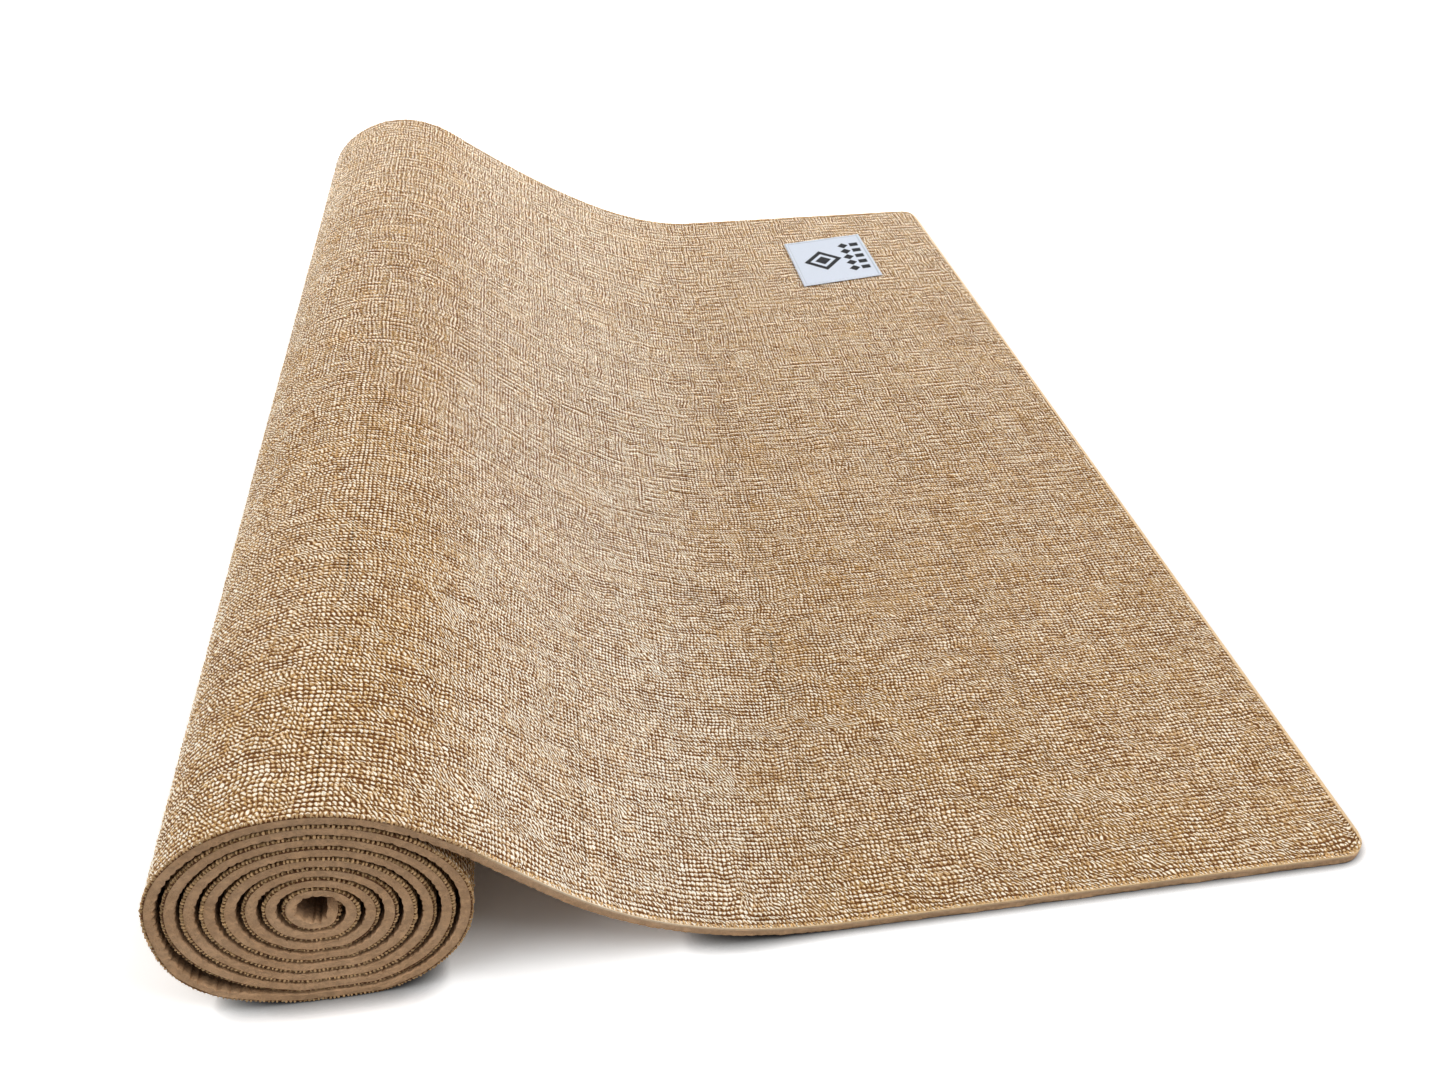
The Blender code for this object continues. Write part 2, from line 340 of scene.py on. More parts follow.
        x, lean_x = between_edges(self.near, self.far, 0)
        z, lean_z = between_edges(self.near, self.far, 1)
        way_x, _ = between_edges(self.near_way, self.far_way, 0)
        way_z, _ = between_edges(self.near_way, self.far_way, 1)
        facing = np.stack([-way_z, way_z * lean_x - way_x * lean_z, way_x], axis=-1)
        facing /= np.linalg.norm(facing, axis=-1, keepdims=True)
        lifted = smooth_step((z - self.thickness) / self.SWAY_RISE)
        in_roll = smooth_step((self.leaving - at) / self.SWAY_END)
        sway = self.sizes.sway * lifted * in_roll
        slow = at / self.SWAY_STRETCH
        lean, lean_back = self.SWAY_LEANS
        x = x + sway * lumps(z + across / lean, slow, spacing=(17 * MM, 14 * MM), seed=11)
        z = z + sway * 0.6 * lumps(x + across / lean_back, slow, spacing=(15 * MM, 12 * MM), seed=12)
        middle = np.stack([x, across, z], axis=-1)
        return middle + facing * depth[..., None]


class MeshParts:
    """Points, faces and the two maps of one mesh, gathered patch by patch.

    The map "yarns" says where in its weave a corner lies, and "OFBake" lays every face out flat
    in one square.
    """

    def __init__(self):
        self.points, self.faces, self.yarns, self.laid_out = [], [], [], []
        self.values = {}
        self.count = 0

    def add_points(self, points, **values):
        """Adds an array of points and returns their numbers in the same arrangement."""
        numbers = self.count + np.arange(points[..., 0].size).reshape(points.shape[:-1])
        self.points.append(points.reshape(-1, 3))
        self.count += numbers.size
        for name, value in values.items():
            each = np.broadcast_to(value, numbers.shape).ravel()
            self.values.setdefault(name, []).append(each)
        return numbers

    def add_faces(self, faces, yarns, laid_out):
        """Adds faces, an array of corner numbers, with both maps' places for each corner."""
        self.faces.append(faces)
        self.yarns.append(np.broadcast_to(yarns, faces.shape + (2,)))
        self.laid_out.append(np.broadcast_to(laid_out, faces.shape + (2,)))

    def add_grid(self, numbers, yarns, laid_out, flipped=None):
        """Adds the four-cornered faces of a grid, with a map place for each of its points.

        flipped is the axis of the grid that is run backwards, which turns its faces round.
        """
        def corners(grid):
            grid = grid if flipped is None else np.flip(grid, flipped)
            return np.stack([grid[:-1, :-1], grid[1:, :-1], grid[1:, 1:], grid[:-1, 1:]], axis=2)

        faces = corners(numbers).reshape(-1, 4)
        self.add_faces(faces, corners(yarns).reshape(-1, 4, 2), corners(laid_out).reshape(-1, 4, 2))

    def made(self, name, material, sharp_degrees):
        """The finished object, smooth but for edges sharper than the given angle."""
        sizes = np.concatenate([np.full(len(part), part.shape[1]) for part in self.faces])
        corners = np.concatenate([part.ravel() for part in self.faces])
        mesh = bpy.data.meshes.new(name)
        mesh.vertices.add(self.count)
        mesh.vertices.foreach_set("co", np.concatenate(self.points).astype(np.float32).ravel())
        mesh.loops.add(len(corners))
        mesh.loops.foreach_set("vertex_index", corners.astype(np.int32))
        mesh.polygons.add(len(sizes))
        starts = np.concatenate([[0], np.cumsum(sizes)[:-1]])
        mesh.polygons.foreach_set("loop_start", starts.astype(np.int32))
        mesh.update(calc_edges=True)
        for map_name, parts in (("yarns", self.yarns), ("OFBake", self.laid_out)):
            places = np.concatenate([part.reshape(-1, 2) for part in parts])
            layer = mesh.uv_layers.new(name=map_name, do_init=False)
            layer.uv.foreach_set("vector", places.astype(np.float32).ravel())
        for value_name, parts in self.values.items():
            attribute = mesh.attributes.new(value_name, "FLOAT", "POINT")
            attribute.data.foreach_set("value", np.concatenate(parts).astype(np.float32))
        mesh.validate()
        mesh.shade_smooth()
        mesh.set_sharp_from_angle(angle=math.radians(sharp_degrees))
        return placed(name, mesh, material)


def spread(wide, tall):
    """Map places for a grid, from the places of its columns and of its rows."""
    return np.stack(np.meshgrid(wide, tall), axis=-1)


def placed(name, mesh, material=None):
    """An object for a mesh, at the origin and in the scene."""
    if material is not None:
        mesh.materials.clear()
        mesh.materials.append(material)
    made = bpy.data.objects.new(name, mesh)
    bpy.context.scene.collection.objects.link(made)
    return made


def maths(operation):
    """A method that adds a Math node, fed by its wire and by what the wire is worked out with."""
    def added(self, *others):
        return self.tree.node("ShaderNodeMath", {"operation": operation}, dict(enumerate((self, *others))))
    return added


class Wire:
    """One output of a node, which takes part in sums as a number would."""

    __add__ = __radd__ = maths("ADD")
    __mul__ = __rmul__ = maths("MULTIPLY")
    __sub__ = maths("SUBTRACT")
    __truediv__ = maths("DIVIDE")
    __pow__ = maths("POWER")
    __abs__ = maths("ABSOLUTE")
    floor = maths("FLOOR")
    fraction = maths("FRACT")
    sine = maths("SINE")
    least = maths("MINIMUM")
    most = maths("MAXIMUM")

    def __init__(self, tree, socket):
        self.tree, self.socket = tree, socket

    def __rsub__(self, other):
        return self * -1 + other

    def part(self, name):
        """One of the x, y and z of a vector."""
        return self.tree.node("ShaderNodeSeparateXYZ", {}, {0: self}, name)

    def between(self, low, high):
        """0 below low, 1 above high, and eased in between."""
        return self.tree.node("ShaderNodeMapRange", {"interpolation_type": "SMOOTHSTEP"},
                              {"Value": self, "From Min": low, "From Max": high})


class NodeTree:
    """A node tree being drawn. One method adds any node, sets it up and links it."""

    def __init__(self, tree):
        self.tree = tree

    def node(self, kind, settings=None, values=None, output=0):
        made = self.tree.nodes.new(kind)
        for name, value in (settings or {}).items():
            setattr(made, name, value)
        for name, value in (values or {}).items():
            self.feed(self.socket_of(made.inputs, name), value)
        return Wire(self, self.socket_of(made.outputs, output))

    def feed(self, socket, value):
        """Links a wire to a socket, or sets the socket to a plain value."""
        if isinstance(value, Wire):
            self.tree.links.new(value.socket, socket)
        else:
            socket.default_value = value

    @staticmethod
    def socket_of(sockets, name):
        """The socket with a number, an identifier or a name, tried in that order."""
        if isinstance(name, int):
            return sockets[name]
        by_identifier = [socket for socket in sockets if socket.identifier == name]
        return by_identifier[0] if by_identifier else sockets[name]

    def seen(self):
        """1 for what the camera sees, also in gloss or through glass, and 0 for the light's own rays."""
        rays = ("Is Camera Ray", "Is Glossy Ray", "Is Transmission Ray")
        by_camera, in_gloss, through_glass = [self.node("ShaderNodeLightPath", {}, {}, ray) for ray in rays]
        return by_camera.most(in_gloss).most(through_glass)


class Finish(NodeTree):
    """A material being drawn, with the helpers that the mat's finishes share."""

    def __init__(self, name):
        self.material = bpy.data.materials.new(name)
        self.material.use_nodes = True
        super().__init__(self.material.node_tree)
        self.surface = self.tree.nodes["Principled BSDF"]

    def place(self):
        """Where the surface is, in metres."""
        return self.node("ShaderNodeTexCoord", {}, {}, "Object")

    def map(self, name):
        """A place on one of the piece's maps."""
        return self.node("ShaderNodeUVMap", {"uv_map": name})

    def value(self, name):
        """A number that the mesh holds for each of its points."""
        return self.node("ShaderNodeAttribute", {"attribute_name": name}, {}, "Fac")

    def vector(self, x, y, z=0.0):
        return self.node("ShaderNodeCombineXYZ", {}, {"X": x, "Y": y, "Z": z})

    def stretched(self, vector, scale):
        return self.node("ShaderNodeMapping", {}, {"Vector": vector, "Scale": scale})

    def noise(self, vector, scale=1.0, detail=2.0, roughness=0.5):
        """Noise from 0 to 1. Its scale is the lumps in a metre, or in another unit of the vector."""
        values = {"Vector": vector, "Scale": scale, "Detail": detail, "Roughness": roughness}
        return self.node("ShaderNodeTexNoise", {}, values, "Fac")

    def mixed(self, share, first, second):
        """A colour between two colours."""
        values = {"Factor_Float": share, "A_Color": rgba(first), "B_Color": rgba(second)}
        return self.node("ShaderNodeMix", {"data_type": "RGBA"}, values, "Result_Color")

    def blended(self, share, first, second):
        """A number between two numbers."""
        values = {"Factor_Float": share, "A_Float": first, "B_Float": second}
        return self.node("ShaderNodeMix", {"data_type": "FLOAT"}, values, "Result_Float")

    def toned(self, shade, level):
        """A colour made lighter or darker by a number."""
        return self.node("ShaderNodeVectorMath", {"operation": "SCALE"}, {0: shade, "Scale": level})

    def bump(self, height, depth):
        return self.node("ShaderNodeBump", {}, {"Height": height, "Distance": depth})

    def finish(self, **values):
        """Sets the surface's sockets, given by name with underscores for spaces."""
        for name, value in values.items():
            self.feed(self.surface.inputs[name.replace("_", " ")], value)
        return self.material


def rgba(shade):
    """A colour with its alpha, or a link as it is."""
    return shade if isinstance(shade, Wire) else (*shade, 1.0)


class JuteFinish(Finish):
    """Woven jute: pale crests that are partly painted highlight, brown gaps with painted shade, and yarns
    that differ from one to the next.

    Counts and distances are in yarns. A yarn's middle is 0 aside and the gap beside it 0.5.
    """

    def __init__(self):
        super().__init__("jute_weave")
        self.spot, counts = self.place(), self.map("yarns")
        jitter = (self.noise(self.spot, scale=900.0, detail=1.0) - 0.5) * 0.7
        self.across, self.along = counts.part("X") + jitter, counts.part("Y") - jitter
        self.long_yarn, self.cross_yarn = self.across.floor(), self.along.floor()
        self.aside_long, self.aside_cross = self.across.fraction() - 0.5, self.along.fraction() - 0.5
        self.off_long, self.off_cross = abs(self.aside_long), abs(self.aside_cross)
        self.long_over = ((self.long_yarn + self.cross_yarn) / 2).fraction() * 2
        self.bold = self.value("bold")
        self.away = self.spot.part("Y")

    def form(self):
        """How high the weave stands: leaning beads where it is bold, and askew ridges elsewhere; the lean
        is also painted light.
        """
        ridge_long, ridge_cross = [0.75 - (off / 0.42) ** 2 for off in (self.off_long, self.off_cross)]
        bead_long = 0.35 + ridge_long - (self.off_cross / 0.50) ** 2
        bead_cross = 0.35 + ridge_cross - (self.off_long / 0.50) ** 2
        bead = self.blended(self.long_over, bead_cross, bead_long)
        lead = self.value("lead")
        bead = self.blended(lead.most(0.0), bead, ridge_long)
        bead = self.blended((lead * -1).most(0.0), bead, ridge_cross)
        drift = self.noise(self.spot, scale=230.0, detail=1.0) * 2.6
        aside_askew = (self.across + self.along + drift).fraction() - 0.5
        # The aside_askew, aside_long and aside_cross terms raise one side of each ridge and bead; besides
        # the bump, this paints that side lighter and the other darker, as painted light.
        ridge_askew = 0.9 - (abs(aside_askew) / 0.36) ** 2 + aside_askew * 0.7
        return self.blended(self.bold, ridge_askew, bead + self.aside_long * 0.9 + self.aside_cross * 0.8)

    def uneven(self):
        """How far the yarns depart from that form: yarn by yarn, in painted shadows beside long yarns and
        in wide low ridges.

        A painted shadow is a dark, sunken stretch in the gap beside a long yarn: relief in the bump and
        painted shadow in the colour. The ridges grow towards the far side.
        """
        own_tone = self.node("ShaderNodeTexWhiteNoise", {"noise_dimensions": "2D"},
                             {"Vector": self.vector(self.long_yarn, self.cross_yarn)}, "Value")
        rough = self.noise(self.spot, scale=480.0, detail=1.0)
        uneven = self.blended(self.bold, (rough - 0.5) * 1.2, (own_tone - 0.5) * 0.5)
        # Painted shadow: dark stretches in the gaps beside long yarns.
        painted_gap_shadows = self.noise(self.vector(self.along * 0.06, self.long_yarn * 3.7, 2.0), detail=1.0)
        uneven = uneven - painted_gap_shadows.between(0.50, 0.62) * self.off_long.between(0.20, 0.45) * 0.6
        bend = self.noise(self.spot, scale=30.0, detail=1.0) * 0.8
        turned = self.noise(self.spot, scale=110.0, detail=1.0).between(0.40, 0.60)

        def ridges(across_share, along_share):
            """Ridges that run along the mat or across it from patch to patch, so many to a yarn."""
            rows = abs((self.across * across_share + bend).fraction() - 0.5)
            columns = abs((self.along * along_share + bend).fraction() - 0.5)
            return 0.25 - self.blended(turned, rows, columns)

        coarse = self.blended(self.away.between(0.0, 0.22), ridges(0.5, 0.8), ridges(0.4, 0.62))
        return uneven + coarse * self.away.between(-0.25, 0.05) * 1.8

    def along_yarns(self, across, along, fine, coarse, offset, **detail):
        """Noise drawn out along whichever yarn lies on top: fine across it and coarse along it."""
        on_long = self.noise(self.vector(across * fine, self.along * coarse), **detail)
        on_cross = self.noise(self.vector(self.across * coarse, along * fine, offset), **detail)
        return self.blended(self.long_over, on_cross, on_long)

    def drawn(self, colours):
        """The finished material."""
        pale, rim = self.value("pale"), self.value("rim")
        # pale above 0 is painted light down the slope and at the far edge; below 0 it is painted shade on
        # the turns inside the roll.
        painted_light, painted_roll_shade = pale.most(0.0), (pale * -1).most(0.0)
        fibres = self.along_yarns(self.across, self.along, 9, 1.6, 4.0, detail=3.0, roughness=0.6)
        tone = self.along_yarns(self.long_yarn, self.cross_yarn, 7.31, 0.05, 9.0, detail=2.0)

        patches = self.noise(self.spot, scale=16.0, detail=4.0, roughness=0.6)
        body = self.mixed(patches.between(0.38, 0.66), colours.golden, colours.jute)
        # Painted light makes the body paler down the slope and at the far edge.
        body = self.mixed(painted_light * 0.5, body, colours.pale)
        # Painted light: the body is lighter where the jute is lifted off the floor, on the roll and the
        # slope, and lighter towards the far side and darker towards the near side, as a painted sheen.
        lifted = self.spot.part("Z").between(0.006, 0.03)
        body = self.toned(body, tone * 0.7 + 0.63 + lifted * 0.06 + self.away * 0.36)
        body = self.mixed(rim * 0.6, body, colours.pale)

        worn = self.noise(self.spot, scale=45.0, detail=3.0, roughness=0.6).between(0.52, 0.70)
        rise = self.blended(worn * 0.25, self.form() + self.uneven(), 0.3) + (fibres - 0.5) * 0.5
        rise = self.blended(rim, rise, fibres * 0.3 + 0.35)
        # Painted shade darkens the gaps between yarns, and the crests take cream, partly the yarns' paler
        # tops and partly painted highlight.
        shade = self.mixed(rise.between(-0.20, 0.50), colours.gap, body)
        crest = (rise + painted_light * 0.14).between(0.42, 0.84)
        # Painted shade: crests on the turns inside the roll lose their highlight.
        crest = crest * (self.long_over * 0.1 + 0.9) * (1 - painted_roll_shade * 0.85)
        shade = self.mixed(crest, shade, self.mixed(painted_light, colours.cream, colours.slope_highlight))
        # Painted sheen lightens the far half further, and painted shade darkens the turns inside the roll.
        shade = self.toned(shade, 1.02 + self.away.most(0.0) * 0.4 - painted_roll_shade * 0.45)
        return self.finish(
            Base_Color=shade,
            Roughness=0.62 + fibres * 0.25,
            Normal=self.bump(rise * 0.6 + fibres * 0.5, 0.35 * MM),
            Specular_IOR_Level=0.15,
        )


def foam_finish(colours):
    """Matte brown foam with fine cells in a coarser grain, and streaks across the mat.

    It takes painted shade that grows towards the top of the roll and deep between its turns, and it is
    rubbed paler along the jute.
    """
    foam = Finish("foam_rubber")
    place = foam.place()
    cells = foam.noise(place, scale=1600.0, roughness=0.6)
    grain = foam.noise(place, scale=320.0, detail=3.0, roughness=0.7).between(0.32, 0.68)
    clouds = foam.noise(place, scale=60.0, detail=3.0, roughness=0.6)
    streaks = foam.noise(foam.stretched(place, (350.0, 30.0, 350.0)), roughness=0.6)
    shade = foam.mixed(clouds.between(0.35, 0.75) * 0.55, colours.foam, colours.foam_pale)
    # Painted shade: the foam is darker towards the top of the roll, under the overhang of the turn above,
    # and a little lighter at the floor.
    painted_top_shade = 1.06 - place.part("Z") * 2.2
    shade = foam.toned(shade, (0.62 + cells * 0.26 + grain * 0.30 + streaks * 0.20) * painted_top_shade)
    shade = foam.mixed(foam.value("rubbed"), shade, colours.rubbed)
    # Painted shade deep between the turns of the roll, from the depth value.
    shade = foam.mixed(foam.value("depth") * 0.85, shade, colours.shade)
    relief = cells * 0.3 + streaks * 0.3 + grain * 0.7
    return foam.finish(
        Base_Color=shade,
        Roughness=0.78 + cells * 0.15,
        Normal=foam.bump(relief, 0.6 * MM),
        Specular_IOR_Level=0.3,
    )


def yarn_end_finish(colours):
    """Cut ends of the yarns, brown in the roll and pale where the mat lies open."""
    ends = Finish("jute_yarn_ends")
    fibres = ends.noise(ends.place(), scale=2200.0, roughness=0.7)
    shade = ends.mixed(ends.value("pale"), colours.cut, colours.jute)
    shade = ends.toned(shade, fibres * 0.7 + ends.value("tone") * 0.5 + 0.4)
    return ends.finish(Base_Color=shade, Roughness=0.9, Normal=ends.bump(fibres, 0.2 * MM),
                       Specular_IOR_Level=0.1)


def label_finish(colours, half_long, half_wide, hem):
    """Satin ribbon with a plain woven ornament of lozenges, centred on the map."""
    satin = Finish("label_satin")
    place = satin.map("yarns")
    x, y = place.part("X"), place.part("Y")
    weft_pitch, raggedness, crease = 0.42 * MM, 0.9 * MM, 0.6 * MM
    weft = (y * (2 * math.pi / weft_pitch)).sine()
    fibres = satin.noise(satin.stretched(place, (400.0, 5000.0, 1.0)))
    ragged = satin.noise(satin.stretched(place, (1200.0, 2600.0, 1.0)), detail=1.0)
    ragged = (ragged - 0.5) * raggedness

    def lozenge(along, up, half_length, half_height):
        """How far inside a lozenge a place is, as a share from its edge to its middle."""
        return 1 - (abs(along + ragged) / half_length + abs(up + ragged) / half_height)

    middle = lozenge(x + 0.24 * half_long, y, 0.50 * half_long, 0.46 * half_wide)
    rings = middle.between(0.0, 0.05) - middle.between(0.32, 0.37) + middle.between(0.56, 0.61)
    row_pitch = 0.27 * half_wide
    row_y = ((y / row_pitch + 0.5).fraction() - 0.5) * row_pitch
    in_row = 1 - abs(y).between(0.66 * half_wide, 0.68 * half_wide)
    small = lozenge(x - 0.43 * half_long, row_y, 0.15 * half_long, 0.49 * row_pitch)
    bars = 1 - abs(x - 0.72 * half_long + ragged).between(0.10 * half_long, 0.12 * half_long)
    bars = bars * (1 - abs(row_y + ragged).between(0.26 * row_pitch, 0.32 * row_pitch))
    motif = (rings + (small.between(0.0, 0.12) + bars) * in_row).least(1.0)
    # Painted shade along the fold line of the hem, where the cloth steps up.
    side = (half_long - abs(x)).least(half_wide - abs(y))
    fold_shade = (1 - abs(side - hem) / crease).most(0.0)
    shade = satin.toned(colours.label, weft * 0.03 + fibres * 0.12 + 0.93 - fold_shade * 0.26)
    shade = satin.mixed(motif, shade, colours.motif)
    return satin.finish(
        Base_Color=shade,
        Roughness=0.5 + fibres * 0.2,
        Normal=satin.bump(weft * 0.5 + fibres, 0.06 * MM),
        Specular_IOR_Level=0.15,
    )


def thread_finish(colours):
    """Pale sewing thread with its twist."""
    thread = Finish("sewing_thread")
    twist = thread.noise(thread.place(), scale=3500.0, detail=1.0)
    shade = thread.toned(colours.thread, twist * 0.3 + 0.85)
    return thread.finish(Base_Color=shade, Roughness=0.5, Normal=thread.bump(twist, 0.05 * MM))


class Weave:
    """The jute counted in half yarns: odd numbers are yarns, and even ones the gaps between.

    Places slide about in the weave, but for those held at its edges.
    """

    COLUMNS_IN_STEPS_OF = 16
    HELD = 6
    PALE_EARLY, PALE_RISE = 15 * MM, 45 * MM
    PALE_LATE, PALE_FALL = 10 * MM, 90 * MM
    HIDDEN_FALL = 10 * MM
    OPENING = 30 * MM
    RIM_HEIGHT = 0.55

    def __init__(self, line, sizes):
        self.line, self.sizes = line, sizes
        yarns = self.COLUMNS_IN_STEPS_OF / 2
        self.columns = self.COLUMNS_IN_STEPS_OF * round(line.sizes.width / sizes.long_pitch / yarns)
        self.rows = 2 * round(line.total / sizes.cross_pitch)
        self.column_step = line.sizes.width / self.columns
        self.row_step = line.total / self.rows
        self.base = line.thickness / 2 - line.sizes.jute

    def row_at(self, travel):
        """The gap between cross yarns that is nearest to a travel."""
        return 2 * round(travel / self.row_step / 2)

    @staticmethod
    def fields(row, column):
        """How the weave differs from place to place.

        Lead says which way the ridges run and bold how far the beads stand out. The others say
        how thick the yarns are there. A slub is a thick stretch of a long yarn.
        """
        slub = smooth_step((lumps(row, column + 1, spacing=(44, 2), seed=14) - 0.45) / 0.3)
        lead = 0.1 + 0.5 * lumps(row, column, spacing=(9, 11), seed=1)
        lead = lead + 0.2 * lumps(row, column, spacing=(40, 46), seed=2) + 0.3 * slub
        bold = 0.55 + 0.36 * lumps(row, column, spacing=(8, 9), seed=15)
        bold = bold + 0.12 * lumps(row, column, spacing=(30, 36), seed=16)
        bold = np.maximum(bold, 0.8 * slub)
        long_thick = 1 + 0.20 * lumps(row, column + 1, spacing=(26, 2), seed=3) + 0.15 * slub
        cross_thick = 1 + 0.22 * lumps(row + 1, column, spacing=(2, 26), seed=5)
        return np.clip(lead, -0.7, 0.7), np.clip(bold, 0.2, 1.0), long_thick, cross_thick

    def heights(self, row, column):
        """The relief at each place as a share of a full bead, with the lead and bold there."""
        lead, bold, long_thick, cross_thick = self.fields(row, column)
        on_long, on_cross = column % 2 == 1, row % 2 == 1
        long_over = ((row - 1) // 2 + (column - 1) // 2) % 2 == 1
        crest = np.where(long_over, long_thick * (0.92 + 0.12 * lead), cross_thick * (0.92 - 0.12 * lead))
        crest = crest * (0.62 + 0.38 * bold)
        crest = crest + 0.20 * lumps(row + 1, column + 1, spacing=(2, 2), seed=17)
        long_saddle = long_thick * (0.36 + 0.34 * lead + 0.14 * (1 - bold))
        cross_saddle = cross_thick * (0.36 - 0.34 * lead + 0.14 * (1 - bold))
        height = np.where(on_long & on_cross, crest, 0.02 + 0.25 * (1 - bold))
        height = np.where(on_long & ~on_cross, long_saddle, height)
        height = np.where(~on_long & on_cross, cross_saddle, height)
        return np.clip(height, 0.0, 1.5), lead, bold

    def paleness(self, row, column):
        """How much painted light or shade the yarns take: painted light at 1 down the slope and 0.5 at the
        far edge elsewhere, painted shade at -1 on the turns inside the roll.
        """
        travel = row * self.row_step
        begun = smooth_step((travel - self.line.leaving + self.PALE_EARLY) / self.PALE_RISE)
        sloping = begun * smooth_step((self.line.foot + self.PALE_LATE - travel) / self.PALE_FALL)
        far = 0.5 * smooth_step(column / self.columns * 1.3 - 0.3)
        painted_roll_shade = smooth_step((self.line.last_turn + self.HIDDEN_FALL - travel) / self.HIDDEN_FALL)
        return 1 - (1 - sloping) * (1 - far) - painted_roll_shade

    def opened(self, row):
        """0 in the roll and 1 where the mat has come off it."""
        return smooth_step((row * self.row_step - self.line.leaving) / self.OPENING)

    def rim(self, row, column):
        """1 on the rim of the open part, where the weave is pressed smooth, else 0."""
        edge = np.minimum(2 * np.minimum(column, self.columns - column), self.rows - row)
        return (edge < 2) * self.opened(row)

    def shifts(self, row, column):
        """How far each place has slid along and across the mat, as shares of half a yarn."""
        wander = 0.45 + 0.85 * smooth_step(0.5 + 1.2 * lumps(row, column, spacing=(26, 30), seed=7))
        along = wander * lumps(row, column, spacing=(13, 7), seed=8)
        along = along + 0.15 * lumps(row, column, spacing=(2, 30), seed=9)
        across = wander * lumps(row, column, spacing=(7, 13), seed=10)
        across = across + 0.15 * lumps(row, column, spacing=(30, 2), seed=13)
        to_edge, to_end = np.minimum(column, self.columns - column), np.minimum(row, self.rows - row)
        return along * smooth_step(to_end / self.HELD), across * smooth_step(to_edge / self.HELD)

    def relief_points(self, row, column):
        """The face of the jute at places counted in half yarns, with the lead and bold there."""
        row, column = np.broadcast_arrays(row, column)
        height, lead, bold = self.heights(row, column)
        along, across = self.shifts(row, column)
        travel = (row + along) * self.row_step
        wide = (column + across) * self.column_step - self.line.sizes.width / 2
        wide = self.line.fitted(travel, wide)
        top = self.line.thickness / 2
        rim = self.rim(row, column)
        height = height * (1 - rim) + self.RIM_HEIGHT * rim
        depth = top - self.sizes.relief + self.sizes.relief * height
        return self.line.place(travel, wide, depth), lead, bold


BACK_SPANS = 8


def strip_columns(weave, edge_yarns, middle_spans):
    """Columns for a strip that shows only at its edges: fine there and coarse between."""
    edge = 2 * edge_yarns
    fine = np.arange(edge + 1)
    middle = np.linspace(edge, weave.columns - edge, middle_spans + 1)[1:-1]
    return np.concatenate([fine, 2 * np.round(middle / 2).astype(int), weave.columns - fine[::-1]])


def jute_strip(name, weave, first_row, last_row, columns, material):
    """A closed strip of jute between two rows: its woven face, its plain back and its rims.

    Its map holds the two halves of the face, one over the other, and the back and rims above them.
    """
    parts = MeshParts()
    rows = np.arange(first_row, last_row + 1)
    row, column = np.meshgrid(rows, columns, indexing="ij")
    face_points, lead, bold = weave.relief_points(row, column)
    face = parts.add_points(face_points, lead=lead, bold=bold, pale=weave.paleness(row, column),
                            rim=weave.rim(row, column))
    yarns = np.stack([column / 2, row / 2], axis=-1)
    span = (rows - first_row) / (last_row - first_row)
    half = len(columns) // 2
    for start, stop, low in ((0, half + 1, 0.0), (half, len(columns), 0.485)):
        face_map = spread(np.linspace(0.002, 0.998, stop - start), low + 0.004 + 0.472 * span)
        parts.add_grid(face[:, start:stop], yarns[:, start:stop], face_map)

    kept = np.linspace(0, len(columns) - 1, BACK_SPANS + 1).round().astype(int)
    back_row, back_column = row[:, kept], column[:, kept]
    travel = back_row * weave.row_step
    wide = weave.line.fitted(travel, back_column * weave.column_step - weave.line.sizes.width / 2)
    opened = weave.opened(back_row)
    # Inside the roll the back takes pale -1, which is painted shade.
    back = parts.add_points(weave.line.place(travel, wide, weave.base),
                            lead=0.0, bold=1.0, pale=opened - 1, rim=opened)
    back_map = spread(np.linspace(0.03, 0.97, BACK_SPANS + 1), 0.97 + 0.012 * span)
    parts.add_grid(back, yarns[:, kept], back_map, flipped=1)

    for side, low, flipped in ((0, 0.002, None), (-1, 0.985, 1)):
        edge = np.stack([back[:, side], face[:, side]], axis=1)
        edge_yarns = np.stack([yarns[:, side], yarns[:, side]], axis=1)
        parts.add_grid(edge, edge_yarns, spread([low, low + 0.013], 0.97 + 0.025 * span), flipped)
    for end, flip in ((0, True), (-1, False)):
        close_end(parts, face[end], back[end], kept, yarns[end], flip)
    return parts.made(name, material, sharp_degrees=55)


def close_end(parts, face, back, back_columns, yarns, flip):
    """Closes the end of a strip with a fan of triangles for each span of its back."""
    faces, places = [], []
    for span, (first, last) in enumerate(zip(back_columns, back_columns[1:])):
        for index in range(first, last):
            faces.append((back[span], face[index], face[index + 1]))
            places.append((yarns[first], yarns[index], yarns[index + 1]))
        faces.append((back[span], face[last], back[span + 1]))
        places.append((yarns[first], yarns[last], yarns[last]))
    faces, places = np.array(faces), np.array(places)
    if flip:
        faces, places = faces[:, ::-1], places[:, ::-1]
    share = places[..., 0] / yarns[-1, 0]
    low = 0.9985 if flip else 0.9965
    laid_out = np.stack([0.03 + 0.94 * share, np.full(share.shape, low)], axis=-1)
    laid_out[:, 0, 1] -= 0.001
    parts.add_faces(faces, places, laid_out)


def declare_sheet(piece):
    """Puts a strip of jute on the mat's body and hides the imported jute face in its place."""
    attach(piece, BODY)
    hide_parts("jute_face")


def sheet_line():
    """The sheet's line for the sizes in the panel."""
    return SheetLine(bpy.context.scene.mat_sheet)


